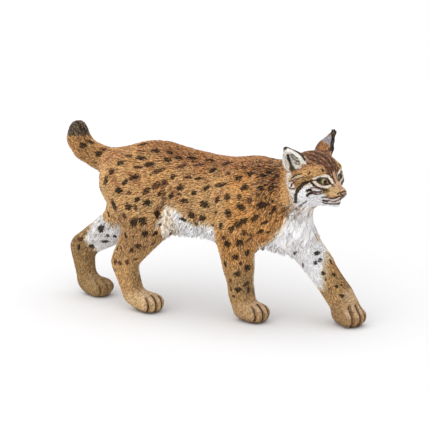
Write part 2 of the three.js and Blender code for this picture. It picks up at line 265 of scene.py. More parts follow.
# Evens values out over neighbouring points
def spread(values, edges, rounds):
    count = np.bincount(edges.ravel(), minlength=len(values)).astype(float)
    for _ in range(rounds):
        total = np.bincount(edges[:, 0], values[edges[:, 1]], len(values))
        total += np.bincount(edges[:, 1], values[edges[:, 0]], len(values))
        values = 0.5 * values + 0.5 * total / np.maximum(count, 1)
    return values


def spreadColumns(values, edges, rounds):
    return np.stack([spread(values[:, n], edges, rounds) for n in range(3)], 1)


def spreadPoints(points, edges, rounds, weight):
    for _ in range(rounds):
        points = points + weight[:, None] * (spreadColumns(points, edges, 1) - points)
    return points


def makeSkin():
    copies = [linked("skinPart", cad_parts[name].data.copy()) for name in fleshNodes]
    radius = skinShape["eye filler"] * mm
    for side in ("left", "right"):
        low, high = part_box("eye_" + side)
        middle = (low + high) / 2
        bpy.ops.mesh.primitive_uv_sphere_add(segments=24, ring_count=16, radius=radius, location=middle)
        copies.append(bpy.context.object)
    pick(*copies)
    bpy.ops.object.join()
    skin = bpy.context.object
    skin.name = "skin"
    bpy.ops.object.transform_apply(location=True, rotation=True, scale=True)
    bpy.ops.object.mode_set(mode="EDIT")
    bpy.ops.mesh.select_all(action="SELECT")
    bpy.ops.mesh.remove_doubles(threshold=1e-6)
    bpy.ops.mesh.customdata_custom_splitnormals_clear()
    bpy.ops.object.mode_set(mode="OBJECT")
    skin.data.materials.clear()
    applyModifier(skin, "DISPLACE", strength=skinShape["grow"] * mm, mid_level=0)
    applyModifier(skin, "REMESH", mode="VOXEL", voxel_size=skinShape["voxel"] * mm, use_smooth_shade=True)
    return skin


# Halves the faces whose corners are all chosen, for finer sculpting
def refine(skin, chosen):
    pick(skin)
    bpy.ops.object.mode_set(mode="EDIT")
    bpy.ops.mesh.select_all(action="DESELECT")
    bpy.ops.object.mode_set(mode="OBJECT")
    faces = [chosen[list(face.vertices)].all() for face in skin.data.polygons]
    skin.data.polygons.foreach_set("select", np.array(faces))
    skin.data.update()
    bpy.ops.object.mode_set(mode="EDIT")
    bpy.ops.mesh.select_mode(type="FACE")
    bpy.ops.mesh.subdivide(number_cuts=1)
    bpy.ops.object.mode_set(mode="OBJECT")


# How far each place is smoothed: the rounded masses wholly, the sharper ones less
skinSoftness = {"bulk": 1, "leg": 0.22, "tail": 0.4, "head": 0.06, "paw": 0.05, "ear": 0.04}
lookup = nodeLookup()
skin = makeSkin()
points, edges = pointsOf(skin.data), edgesOf(skin.data)
labels = nodeOf(points)
masks = {kind: isPart(labels, *names).astype(float) for kind, names in {
    "bulk": ("trunk", "neck"), "leg": ("front_leg", "hind_leg"), "tail": ("tail",), "head": ("head",),
    "paw": ("front_paw", "hind_paw"), "ear": ("ear",), "trunk": ("trunk",), "neck": ("neck",),
}.items()}
softness = sum(share * masks[kind] for kind, share in skinSoftness.items())
softness = spread(softness, edges, skinShape["softness rounds"])
points = spreadPoints(points, edges, skinShape["smooth rounds"], softness)
setPoints(skin.data, points)
earShare = spread(masks["ear"], edges, skinShape["ear rounds"])
depth = sum(share * masks[kind] for kind, share in coatDepth.items())
depth = spread(depth, edges, skinShape["depth rounds"])
depth = depth * (1 - earShare) + coatDepth["ear"] * earShare
depth = skinShape["grow"] + depth - skinShape["less where soft"] * softness
points = points - normalsOf(skin.data) * depth[:, None]
setPoints(skin.data, points)
refine(skin, isPart(labels, "head", "front_paw", "hind_paw") | (earShare > skinShape["fine ears"]))
ahead, above = skinShape["fine face"]
refine(skin, (toHead(pointsOf(skin.data))[:, 0] > ahead) & (pointsOf(skin.data)[:, 2] > above))
print("skin made,", len(skin.data.polygons), "faces")


# Sculpting: folds and swellings worked into the skin. Paths are in the head's frame for the
# figure's left side, and each is mirrored to the right.
faceShape = {  # swells: centre, reach, height; folds: path, width, depth
    "swells": {
        "whisker pad": ((10, 2, -4.4), 1.9, 0.5),
        "nose": ((12, 0, -3.6), 1.3, 0.5),
        "nose bridge": ((9.4, 0, -1.4), 1.7, 0.3),
        "chin": ((9.2, 0, -7.6), 1.7, 0.55),
        "brow": ((6.4, 4.2, 3.2), 1.5, 0.15),
        "cheekbone": ((4.6, 6.4, -1.8), 2.4, 0.35),
        "inner corner": ((8.6, 2.1, 0.6), 1.1, -0.35),
        "stop": ((8.2, 0, 2.4), 1.8, -0.2),
        "temple": ((2, 7.6, 2.4), 2.6, -0.25),
        "mouth corner": ((6.6, 3.9, -5.6), 1.3, -0.3),
    },
    "folds": {
        "mouth": ([(11.4, 0, -5.8), (10.5, 1.1, -6.2), (9.3, 1.9, -6.4), (7.4, 2.6, -6.3), (6.1, 3, -6.2)],
          0.26, 0.6),
        "under the lip": ([(10.2, 0, -7.1), (9.1, 1.6, -7.2), (7.1, 2.3, -7.4), (5.6, 2.8, -7.3)], 0.3, 0.3),
        "lip cleft": ([(12.5, 0, -4), (12.1, 0, -5.2)], 0.22, 0.45),
        "nostril": ([(12.4, 0.35, -3.6), (12.3, 0.8, -3.3), (11.7, 1.15, -2.9)], 0.2, 0.5),
        "nose side": ([(11.2, 1.35, -2.5), (11.8, 1.3, -3.7), (12.3, 0.4, -4.1)], 0.2, 0.35),
        "bridge side": ([(8.4, 1.7, 0), (9.8, 1.7, -1.7), (11, 1.6, -2.7)], 0.5, 0.25),
        "whiskers": ([(11.4, 1.5, -4.4), (9.8, 2.8, -4.7), (8.6, 3.5, -4.8)], 0.16, 0.22),
        "under the eye": ([(4.6, 6.8, 0.2), (6.4, 5.9, -1.1), (8.4, 3.4, -1.7), (9, 2.1, -1.2)], 0.35, 0.3),
        "cheek edge": ([(-5.6, 8.4, 0.6), (-4.2, 9.4, -1.8), (-2.6, 9.9, -4.1), (-1.3, 9.6, -6.9),
          (-1.6, 8, -9.2)], 0.8, 0.9),
    },
}
# In the body's frame: path, width, depth
bodyFolds = {
    "flank": ([(-13.6, -9, 44), (-12.8, -9.5, 39), (-13.2, -10, 34), (-14.5, -10.5, 30.5)], 0.9, 0.7),
    "flank far": ([(-23, 9, 44), (-25, 9.5, 38), (-29, 10, 32)], 0.9, 0.6),
    "elbow": ([(7, -10, 38), (6, -9.5, 33), (6.6, -9, 28)], 0.8, 0.45),
    "elbow far": ([(16, 9, 38), (19, 9, 32), (23, 9, 27)], 0.8, 0.45),
    "blade": ([(10, -9, 51), (14, -10, 46), (20, -9.5, 40)], 1.6, -0.3),
    "blade far": ([(12, 9, 51), (16, 10, 46), (22, 9.5, 40)], 1.6, -0.3),
}
paws = {  # middle of the sole, the way the toes point in degrees, and size
    "front_right": ((17.9, -3.6), -30, 1.0),
    "front_left": ((48.5, 4.2), -26, 1.04),
    "hind_right": ((-19.3, -6.2), -32, 1.0),
    "hind_left": ((-43.5, 5.0), -22, 1.0),
}
toes = {
    "groove": 0.34, "depth": 0.75, "start": 0.6, "outer start": 0.95, "rise": 1.6, "top": 7.6,
    "spacing": 2.05, "fan": 0.06,  # they spread apart a little towards the front
    "swell": 0.4, "ahead": 3.4, "outer shorter": 0.5, "height": 3.4, "size": (1.6, 0.9, 2.4),
    "above the sole": (0.1, 3.0),
}


def surfaceOf(mesh):
    faces = [face.vertices[:] for face in mesh.polygons]
    return BVHTree.FromPolygons(pointsOf(mesh).tolist(), faces)


# A smooth run of points through a path, laid on the surface
def layPath(path, gap=0.25):
    path = np.asarray(path, float)
    padded = np.vstack([2 * path[0] - path[1], path, 2 * path[-1] - path[-2]])
    laid = []
    for i in range(1, len(padded) - 2):
        a, b, c, d = padded[i - 1:i + 3]
        count = max(int(np.linalg.norm(c - b) / gap), 1)
        for t in np.arange(count) / count:
            laid.append(0.5 * (2 * b + (c - a) * t + (2 * a - 5 * b + 4 * c - d) * t**2
                               + (3 * b - a - 3 * c + d) * t**3))
    laid.append(path[-1])
    return np.array([surface.find_nearest(p)[0][:] for p in np.array(laid).tolist()])


def mirrored(path):
    path = np.asarray(path, float).reshape(-1, 3)
    sides = [path * (1, side, 1) for side in (1, -1)]
    return sides if np.abs(path[:, 1]).max() > 0.05 else sides[:1]


foldReach = 3


# Raises the skin by a rounded swelling; a negative height presses a fold in
def swellSkin(points, normals, far, reach, height):
    return points + normals * (height * np.exp(-(far / reach) ** 2))[:, None]


def sculptHead(mesh):
    for centre, reach, height in faceShape["swells"].values():
        for side in mirrored(centre):
            points = pointsOf(mesh)
            far = np.linalg.norm(points - fromHead(side), axis=1)
            setPoints(mesh, swellSkin(points, normalsOf(mesh), far, reach, height))
    for path, width, depth in faceShape["folds"].values():
        for side in mirrored(path):
            points = pointsOf(mesh)
            far = nearPath(points, layPath(fromHead(side)), foldReach)
            setPoints(mesh, swellSkin(points, normalsOf(mesh), far, width, -depth))


def sculptBody(mesh):
    points, normals = pointsOf(mesh), normalsOf(mesh)
    for path, width, depth in bodyFolds.values():
        far = nearPath(points, layPath(path, 0.5), foldReach)
        points = swellSkin(points, normals, far, width, -depth)
    setPoints(mesh, points)


# How far a point lies ahead of and beside a paw's middle, and whether it belongs to that paw
def pawPlace(points, name):
    (x, y), yaw, size = paws[name]
    turn = math.radians(yaw)
    local = points - (x, y, 0)
    forward = local @ np.array((math.cos(turn), math.sin(turn), 0)) / size
    across = local @ np.array((-math.sin(turn), math.cos(turn), 0)) / size
    near = (points[:, 2] < 10) & (np.abs(across) < 6) & (forward > -7) & (forward < 8)
    return forward, across, near


def toeLine(number, forward):
    return number * toes["spacing"] * (1 + toes["fan"] * forward)


def grooves(points, width):
    total = np.zeros(len(points))
    for name in paws:
        forward, across, near = pawPlace(points, name)
        for number in (-1, 0, 1):
            press = np.exp(-((across - toeLine(number, forward)) / width) ** 2)
            start = toes["outer start" if number else "start"]
            total += press * ramp(start, start + toes["rise"], forward) * near * (points[:, 2] < toes["top"])
    return total


def sculptPaws(mesh):
    points, normals = pointsOf(mesh), normalsOf(mesh)
    swell = np.zeros(len(points))
    long, broad, high = toes["size"]
    for name in paws:
        forward, across, near = pawPlace(points, name)
        for number in (-1.5, -0.5, 0.5, 1.5):
            reach = toes["ahead"] - toes["outer shorter"] * abs(number)
            away = ((across - toeLine(number, forward)) / broad) ** 2
            away = away + ((forward - reach) / long) ** 2 + ((points[:, 2] - toes["height"]) / high) ** 2
            swell += np.exp(-away) * near
    points = points + normals * (toes["swell"] * swell)[:, None]
    points = points - normals * (toes["depth"] * grooves(points, toes["groove"]))[:, None]
    low = ramp(*toes["above the sole"], points[:, 2])
    points[:, 2] -= (1 - low) * min(points[:, 2].min(), 1)  # the soles stay on the ground
    setPoints(mesh, points)


# Eyes, in the head's frame: a glossy ball with a slight cornea, and lids with an almond opening
eyeShape = {
    "centre": (5.95, 3.45, 0.7), "radius": 1.85, "facing": (0.87, 0.47, -0.05), "tilt": 14,
    "half width": 62, "upper": 27, "lower": 20, "iris": 50, "pupil": 22,
    "socket rim": 84,  # degrees off the eye's line, as the other angles are
    "socket reach": (2.3, 3.3), "socket angles": (80, 110), "socket blend": 0.5, "socket depth": 0.5,
    "socket floor": (50, 92), "socket evened": 3.6,
    "cornea": 0.14, "cornea share": (0.8, 1.0), "lid points": 56, "lid power": 1.35,
}
lidShape = [  # share of the way from the opening to the socket's rim, and height over the ball
    (0, -0.30), (0, 0.06), (0.08, 0.14), (0.22, 0.12), (0.45, 0.05), (0.72, -0.02), (1, -0.25), (1, -0.7),
    (0.3, -0.6),
]


def eyeFrame(side):
    centre = fromHead(np.array(eyeShape["centre"]) * (1, side, 1))
    facing = unit(headTurn @ (np.array(eyeShape["facing"]) * (1, side, 1)))
    outward = headTurn @ np.array((0, side, 0.0))
    outward = unit(outward - facing * (outward @ facing))
    up = np.cross(facing, outward) * side
    c, s = math.cos(math.radians(eyeShape["tilt"])), math.sin(math.radians(eyeShape["tilt"]))
    return centre, facing, outward * c + up * s, up * c - outward * s


# Sinks the skin under each eyeball, so that only the lids close on it
def sinkSockets(mesh):
    points = pointsOf(mesh)
    soft = eyeShape["socket blend"]
    for side in (1, -1):
        centre, facing, _, _ = eyeFrame(side)
        way = points - centre
        far = np.linalg.norm(way, axis=1)
        angle = np.degrees(np.arccos(np.clip(dot(unit(way), facing), -1, 1)))
        most = eyeShape["radius"] - eyeShape["socket depth"] + ramp(*eyeShape["socket floor"], angle)
        mix = np.clip(0.5 + 0.5 * (far - most) / soft, 0, 1)
        held = far + (most - far) * mix - soft * mix * (1 - mix)
        share = (1 - ramp(*eyeShape["socket reach"], far)) * (1 - ramp(*eyeShape["socket angles"], angle))
        points = centre + unit(way) * (far + (held - far) * share)[:, None]
        points = spreadPoints(points, edgesOf(mesh), 2, share * (far < eyeShape["socket evened"]))
    setPoints(mesh, points)


surface = surfaceOf(skin.data)
sculptBody(skin.data)
sculptHead(skin.data)
sinkSockets(skin.data)
sculptPaws(skin.data)
surface = surfaceOf(skin.data)
print("skin sculpted")


def makeEye(side, name):
    centre, facing, outward, up = eyeFrame(side)
    radius = eyeShape["radius"]
    bpy.ops.object.select_all(action="DESELECT")
    bpy.ops.mesh.primitive_uv_sphere_add(segments=48, ring_count=32, radius=radius * mm)
    eye = bpy.context.object
    eye.name = name
    points = pointsOf(eye.data)
    points = points[:, :1] * outward + points[:, 1:2] * up + points[:, 2:] * facing
    forward = points @ facing / radius
    cornea = eyeShape["cornea"] * ramp(*eyeShape["cornea share"], forward)
    points = points + facing * cornea[:, None]
    setPoints(eye.data, points + centre)
    bpy.ops.object.shade_smooth()
    local = np.stack([points @ outward, points @ up, points @ facing], 1) / radius
    layer = eye.data.attributes.new("gaze", "FLOAT_VECTOR", "POINT")
    layer.data.foreach_set("vector", flat(local))
    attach(eye, "root")
    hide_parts(name.replace("eyeball", "eye"))
    return eye


def lidPointsOf(side):
    centre, facing, outward, up = eyeFrame(side)
    points = []
    for share, height in lidShape:
        for angle in 2 * math.pi * np.arange(eyeShape["lid points"]) / eyeShape["lid points"]:
            c, s = math.cos(angle), math.sin(angle)
            rise = eyeShape["upper"] if s > 0 else eyeShape["lower"]
            a = eyeShape["half width"] * c * (1 - share) + eyeShape["socket rim"] * c * share
            bow = math.copysign(abs(s) ** eyeShape["lid power"], s)
            e = rise * bow * (1 - share) + eyeShape["socket rim"] * s * share
            off = math.radians(math.hypot(a, e))
            way = unit(outward * a + up * e) * math.sin(off) + facing * math.cos(off)
            points.append(centre + way * (eyeShape["radius"] + height))
    return points


# Both eyes' lids in one piece: each a closed tube of rings round the opening
def makeLids():
    points, faces = lidPointsOf(1) + lidPointsOf(-1), []
    rings, around = len(lidShape), eyeShape["lid points"]
    for start in (0, rings * around):
        for r in range(rings):
            low, high = start + r * around, start + (r + 1) % rings * around
            for n in range(around):
                m = (n + 1) % around
                faces.append((low + n, low + m, high + m, high + n))
    mesh = bpy.data.meshes.new("eyelids")
    mesh.from_pydata((np.asarray(points) * mm).tolist(), [], faces)
    mesh.update()
    piece = linked("eyelids", mesh)
    pick(piece)
    bpy.ops.object.mode_set(mode="EDIT")
    bpy.ops.mesh.select_all(action="SELECT")
    bpy.ops.mesh.normals_make_consistent(inside=False)
    bpy.ops.object.mode_set(mode="OBJECT")
    bpy.ops.object.shade_smooth()
    return piece, np.array(points)


eyes = [makeEye(1, "eyeball_left"), makeEye(-1, "eyeball_right")]
lids, lidPoints = makeLids()
print("eyes and lids made")


# Paint: one set of values laid on skin, lids and coat alike, in millimetres
def tint(red, green, blue):
    shares = np.array((red, green, blue)) / 255
    return np.where(shares <= 0.04045, shares / 12.92, ((shares + 0.055) / 1.055) ** 2.4)


bodyPaint = {
    "tan": (234, 186, 124), "low flank": (232, 190, 132), "shoulder": (240, 176, 98), "back": (178, 118, 64),
    # Painted shade: the crease colour is the brown darkening laid along the creases where limbs meet the body
    "light drift": (238, 184, 114), "rusty drift": (204, 134, 78), "crease shade": (132, 72, 38),
    "leg": (194, 148, 94), "foreleg": (222, 164, 94), "shin": (206, 164, 108), "hind shin": (236, 188, 126),
    # Painted shade: the olive darkens the forward-facing side of the lower legs
    "olive shade": (128, 104, 66), "far hind shade": (164, 132, 84),
    "tail": (204, 152, 90), "tail tip": (62, 50, 40),
    "paw": (206, 168, 120), "far fore paw": (166, 128, 84), "near hind paw": (236, 200, 150),
    # Painted highlight: the pale cream on the upward-facing tops of the toes
    "toe top highlight": (238, 208, 172), "toe shade": (140, 102, 66), "toe groove": (66, 42, 28),
    # Painted shade: the dark brown low on the paws, next to the floor
    "mottle": (140, 100, 60), "paw shade by the floor": (104, 70, 42),
    "cream": (234, 216, 186), "white": (247, 246, 247), "grey specks": (190, 184, 170),
    "fold cream": (247, 234, 212), "fold strokes": (150, 100, 66),
    "nape": (188, 114, 50), "nape dark": (66, 36, 20), "nape blotch": (72, 38, 20),
    "nape light": (222, 158, 88), "head": (196, 140, 92), "crown dark": (62, 36, 26),
    "crown light": (206, 152, 112),
    "dark stroke": (52, 28, 22), "pale stroke": (226, 186, 156), "eyelid": (250, 243, 230),
    "ear back": (190, 134, 84), "ear back shade": (112, 72, 44), "ear patch": (190, 190, 196),
    "ear hollow": (247, 242, 232), "ear rim": (40, 34, 30), "ear tip": (36, 30, 28),
}
bodyPaint = {name: tint(*colour) for name, colour in bodyPaint.items()}
# Where white meets tan on the near side: for the chest x over z, for the belly z over x
chestBorder = [
    (22, 17), (25.5, 20), (27.2, 22.5), (29.5, 25.5), (32.3, 27.7), (35.7, 30), (37.6, 30.6), (40, 31.6),
    (41.5, 33.2), (44, 34.8), (50, 37.5),
]
bellyBorder = [
    (-40, 27), (-20, 27), (-14.5, 29), (-13, 34), (-11.8, 37.6), (-8.6, 37), (-7, 35.8), (-4.8, 33.7),
    (-2, 32), (1, 32.7), (4.2, 33), (5.7, 32.4), (6.5, 30), (10, 28), (20, 26),
]
farHindBorder = [(12, -41), (15, -43), (20, -46.5), (26, -46), (33, -42), (40, -36)]
# Painted shade: brown darkening along the creases where limbs meet the body; path in the body's frame, half
# width
bodyCreaseShade = [
    ([(-13.6, -9.2, 45.5), (-13, -9.5, 42), (-12.6, -9.8, 38), (-13.6, -10, 34)], 1.5),
    ([(6.8, -10, 33), (6.4, -9, 28)], 0.7),
    ([(-24, 9, 46), (-25, 9.5, 40), (-29, 10, 33)], 1.3),
]
# The white cheek's front edge in the head's frame, x over z
cheekEdge = [(-9.5, -1.6), (-8.5, -0.9), (-6.9, -0.6), (-4.1, -1.8), (-1.8, -3.4), (0.4, -4.8), (4, -7)]
# Colour, path in the head's frame, reach, softness; laid on the skin and mirrored
facePaint = [
    ((126, 74, 46), [(6.8, 0.3, 5), (4.4, 1, 6.6), (0.5, 1.2, 7.8), (-3.5, 0.6, 8.2)], 3.3, 0.9),
    ((140, 90, 56), [(-3, 5, 6.5), (-6, 1, 7.5)], 3, 1.5),
    ((226, 178, 118), [(6.2, 4, 3.7), (3, 6.4, 3), (0.6, 7.6, 2.2)], 1.7, 0.7),
    ((186, 142, 84), [(4.4, 7, 1.6), (2.8, 7.8, 0.8), (1.4, 8.7, -0.5), (0, 9.4, -1.6)], 1, 0.4),
    ((240, 232, 222), [(-4, 8.9, 0.8), (-2.6, 9.4, -1.4), (-1.3, 9.9, -3.2), (-0.5, 10.1, -5), (0, 9.7, -6.8),
     (0, 8.8, -8.2)], 1.75, 0.4),
    ((232, 208, 172), [(-2.8, 8.9, 0.4), (-1, 8.6, 0.9), (0.6, 8, 1.5)], 0.9, 0.4),
    ((248, 247, 247), [(3.4, 8.1, -1.8), (2.2, 8.8, -3.2), (2.4, 8.3, -5), (3.9, 6.5, -5)], 1.6, 0.4),
    ((243, 238, 232), [(5, 7.2, -0.8), (5.8, 6.4, -1.8), (6.8, 5.2, -2.4)], 0.95, 0.3),
    ((248, 247, 247), [(6.6, 5.4, -3.4), (5.2, 6, -4.8), (3, 7.6, -6.6), (1.4, 8, -8.4)], 1.8, 0.4),
    ((248, 247, 247), [(6.2, 4.4, -4.8), (5, 3.8, -6.8), (3, 5, -8.4), (0.6, 6.4, -9.6)], 2, 0.5),
    ((248, 247, 248), [(9.6, 0, -8.2), (7, 0.6, -8.4), (3, 1.6, -9.4), (0, 2, -10.5), (-2, 3.5, -11)], 2.8,
     0.7),
    ((240, 202, 168), [(8.2, 0.3, 1.8), (9.4, 0.3, -0.4), (11.4, 0.3, -2.6)], 1.3, 0.4),
    ((236, 202, 152), [(7.6, 3.5, -3), (8.6, 2.9, -2.4), (9.8, 2.2, -2.2), (10.9, 1.6, -3), (9.6, 2.6, -3.6)],
     1.1, 0.3),
    ((158, 136, 74), [(7.3, 3.9, -2.9), (8.1, 3.3, -2.4)], 0.75, 0.4),
    ((242, 234, 228), [(11.5, 1.3, -4.6), (10.6, 2.4, -5.2), (8.6, 3.2, -5.5), (6.6, 3.4, -5.9)], 0.5, 0.15),
    ((240, 232, 226), [(10.4, 0.6, -6.7), (8.8, 2, -6.9), (6.6, 2.8, -6.9)], 0.42, 0.15),
    ((250, 243, 228), [(5.1, 6.5, 1.4), (5.9, 5.6, 1.9), (6.5, 4.6, 2.3), (7.1, 3.5, 2.4), (7.6, 2.3, 1.9),
     (7.9, 1.6, 0.9), (8.5, 1.3, -0.3)], 0.42, 0.12),
    ((250, 244, 232), [(5.5, 6.4, 0.5), (6.2, 6.1, -0.2), (6.8, 5.1, -0.9), (7.4, 3.8, -1.4), (8, 2.8, -1.4),
     (8.5, 2, -0.9)], 0.42, 0.12),
    ((236, 222, 198), [(4.2, 7.7, 0), (3, 8.2, -0.8), (2, 8.9, -2.2)], 0.3, 0.12),
    ((170, 132, 116), [(12.3, 0, -3.2), (12.2, 0.6, -3.6), (12.3, 0, -4.4)], 0.85, 0.16),
]
# Painted lines in the head's frame: path, half width
blackLines = [
    ([(5.8, 5.8, 1.1), (5, 6.8, 1), (4, 7.4, 0.6), (2.8, 8, 0)], 0.34),
    ([(3.4, 7.7, 0.3), (2.6, 8.1, -0.1), (1.8, 8.7, -1.1), (1, 9.3, -2.4), (0.6, 9.7, -3.7), (0.4, 9.8, -5),
     (0.3, 9.7, -6.4)], 0.6),
    ([(5.6, 5.9, 1), (6.2, 4.9, 1.6), (6.7, 4, 1.7), (7.3, 2.7, 1.3), (7.6, 2.1, 0.6), (8.2, 1.9, -0.5)],
     0.36),
    ([(8.3, 1.8, -0.7), (7.8, 2.8, -0.6), (7.1, 3.7, -0.6), (6.6, 4.9, -0.1), (6, 5.5, 0.6)], 0.25),
    ([(7.7, 2.3, 0.3), (8.2, 1.9, -0.5), (8.5, 1.6, -0.9)], 0.3),
    ([(3.3, 6.6, 2.7), (3.4, 6.3, 3.2)], 0.34),
    ([(6.4, 3.9, 4.3), (7, 3.9, 3.8)], 0.34),
    ([(3.7, 7.9, -2.5), (4.3, 7.7, -2), (4.8, 7.5, -2.1)], 0.56),
    ([(3.4, 7.6, -4.1), (4.3, 7.4, -3.1), (4.8, 7.1, -2.9)], 0.54),
    ([(4.7, 7, 0.3), (5.5, 6.7, -0.3)], 0.44),
    ([(-2.4, 8.8, 0.4), (-1.6, 8.4, 1.3)], 0.26),
    ([(-1.7, 9.6, -1.8), (-1.4, 9.4, -1.2)], 0.34),
    ([(11.2, 1.9, -3.4), (11.8, 1.1, -3), (12.3, 0.2, -2.7)], 0.26),
    ([(12.4, 0.4, -4.1), (12.3, 0.8, -3.8), (12.1, 1.1, -3.6)], 0.34),
    ([(12.3, 0, -4.7), (12.1, 0.7, -4.6), (11.8, 1.2, -4.3)], 0.27),
    ([(12.4, 0, -4.4), (12.1, 0, -5.2), (11.4, 0, -5.8)], 0.14),
    ([(11.6, 1.5, -4.2), (11, 2.5, -4.6), (9.7, 3, -5), (7, 3.4, -5.4), (5.9, 3.6, -5.6)], 0.3),
    ([(11.4, 0, -5.8), (10.5, 1.1, -6.2), (9.3, 1.9, -6.4), (7.4, 2.6, -6.3), (6.1, 3, -6.2)], 0.34),
]
brownLines = [
    ([(10.2, 0, -7.1), (9.1, 1.6, -7.2), (7.1, 2.3, -7.4), (5.6, 2.8, -7.3)], 0.28),
    ([(-2.4, 8.8, 0.4), (-1.6, 8.4, 1.3), (-0.6, 7.9, 2), (0.8, 7.3, 2.5)], 0.3),
    ([(-1.7, 9.4, -1.1), (-0.7, 8.9, 0), (0.4, 8.2, 1), (1.8, 7.5, 1.7)], 0.3),
    ([(-3, 9.2, -0.4), (-1.8, 9.1, 0.1), (-0.6, 8.6, 0.9)], 0.26),
    ([(-2.6, 9.6, -2.2), (-1.4, 9.7, -2.4), (-0.2, 9.6, -2.2)], 0.26),
    ([(4.8, 6.9, 0.2), (5.5, 6.7, -0.4), (6.2, 6.2, -1.1), (7, 5.2, -1.8), (7.8, 3.6, -2.3)], 0.42),
    ([(4.3, 7.7, -2), (4.8, 7.4, -2.3), (5.8, 6.5, -2.6), (6.8, 5, -2.8)], 0.46),
    ([(4.6, 7.6, -1.5), (5.4, 7.1, -1.1), (6.2, 6.3, -1.4)], 0.2),
    ([(4.3, 7.4, -3.1), (5.1, 6.9, -3.2), (5.9, 5.7, -3.7), (6.6, 4.6, -3.8)], 0.44),
    ([(0.6, 8.6, -8.2), (1.6, 8.1, -7.2), (2.5, 7.2, -6.4)], 0.36),
    ([(0.2, 8, -9.2), (1.2, 7.8, -8.2)], 0.3),
    ([(-1.2, 9.9, -4.6), (-0.6, 9.8, -6), (-0.4, 9.2, -7.6)], 0.24),
    ([(6.9, 1.6, 4.7), (7.7, 0.9, 3.2), (8.3, 0.8, 1.2), (9.4, 0.8, -0.4)], 0.26),
    ([(7, 2.4, 4.6), (7.7, 2, 3), (8.1, 1.4, 1.4)], 0.22),
]
# Strokes drawn along the crown and forehead: path, half width, and 1 for a pale stroke
crownStrokes = [
    ([(-3, 0.4, 8), (-0.8, 0.4, 7.9), (1.6, 0.5, 7.6), (3.5, 0.4, 7.1), (5.4, 0.3, 6.3), (6.7, 0.2, 5.2)],
     0.25, 0),
    ([(-2.5, 1.5, 7.8), (0.4, 1.5, 7.7), (2.8, 1.3, 7.2), (4.8, 1.1, 6.5), (6.6, 0.8, 5.2)], 0.16, 1),
    ([(-2.5, 2.4, 7.6), (0.1, 2.6, 7.4), (2.2, 2.3, 7.1), (4.4, 1.9, 6.5), (5.9, 1.5, 5.7), (7.1, 1, 4.6)],
     0.27, 0),
    ([(-1.5, 3.3, 7.3), (1.2, 3.2, 7), (3.6, 2.7, 6.4), (5.6, 2.1, 5.6)], 0.16, 1),
    ([(-2, 4.1, 7), (0.6, 4.1, 6.7), (3.2, 3.5, 6.2), (5.2, 2.9, 5.6), (6.5, 2.4, 4.8)], 0.24, 0),
    ([(0.2, 4.9, 6.3), (2.4, 4.5, 6.1), (4.4, 3.8, 5.5), (6, 3.1, 4.9)], 0.16, 1),
    ([(-1, 5.6, 6.2), (1.4, 5.3, 5.9), (3.4, 4.8, 5.4)], 0.24, 0),
    ([(6.7, 0.9, 5), (7.3, 1.5, 4.2), (7.6, 1.7, 3.3)], 0.2, 1),
    ([(4.6, 4.4, 4.8), (5.8, 3.8, 4.6), (6.6, 3.2, 4.2)], 0.16, 1),
]
# Lines on the ears, in the head's frame and not mirrored: colour, path, half width
earLines = [
    ((246, 240, 228), [(-3.4, -6.7, 4.6), (-2.2, -6.3, 4.4), (-1, -6.1, 4.6)], 1.3),
    ((62, 50, 34), [(-3.9, -7.1, 3.4), (-2.9, -7, 2.9)], 0.75),
    ((238, 232, 222), [(-5, -9.1, 7.7), (-5.2, -8.1, 5), (-4.6, -7.9, 2.7), (-3.4, -8, 2)], 0.55),
    ((58, 54, 40), [(-4.3, -8.4, 8), (-4.7, -7.4, 6.2), (-4.2, -7, 4.4), (-3, -7.2, 3.4)], 0.5),
    ((250, 246, 238), [(-4.6, -9.2, 9.9), (-2.9, -8.2, 9.5), (-0.9, -7.4, 8.5), (0.4, -6.8, 7), (0.8, -6, 6)],
     0.62),
    ((46, 40, 34), [(-5, -9.4, 10.6), (-2.9, -7.3, 10), (-0.8, -6.7, 9.1), (0.7, -5.8, 7.1)], 0.6),
    ((64, 52, 40), [(-4.1, -8, 8.6), (-3.1, -7.6, 8.3), (-2.2, -7.3, 8.4)], 0.2),
    ((64, 52, 40), [(-4, -7.6, 7.8), (-2.9, -7.2, 7.4), (-1.6, -7, 7.7)], 0.2),
    ((64, 52, 40), [(-3.8, -7.2, 7), (-2.7, -6.8, 6.5), (-1.2, -6.7, 6.9)], 0.2),
    ((64, 52, 40), [(-3.5, -6.9, 6.2), (-2.5, -6.5, 5.7), (-0.8, -6.4, 6)], 0.2),
    ((64, 52, 40), [(-3.2, -6.8, 5.4), (-2.2, -6.3, 5), (-0.6, -6.2, 5.2)], 0.2),
    ((38, 33, 30), [(1.3, 7.2, 8), (0.8, 7.9, 9.4), (0.1, 8.7, 10.7), (-0.8, 9.6, 12.2)], 0.9),
    ((118, 76, 46), [(1.2, 6.4, 6), (1.4, 6.8, 7)], 0.6),
]
earPaint = {  # in the head's frame; the tips' keys are 1 for the left ear and -1 for the right
    "hollow way": (0.62, 0.76, 0.12),
    "tips": {1: [(-1.0, 10.4, 12.6), (-1.0, 10.9, 15.0)], -1: [(-5.4, -10.0, 11.4), (-5.6, -10.1, 11.8)]},
    "patch": [(-2.4, 7.2, 10.6), (0.2, 7.4, 9.8), (1.0, 7.6, 9.0)],
}


def borderAt(border, value):
    return np.interp(value, *np.array(border, float).T)


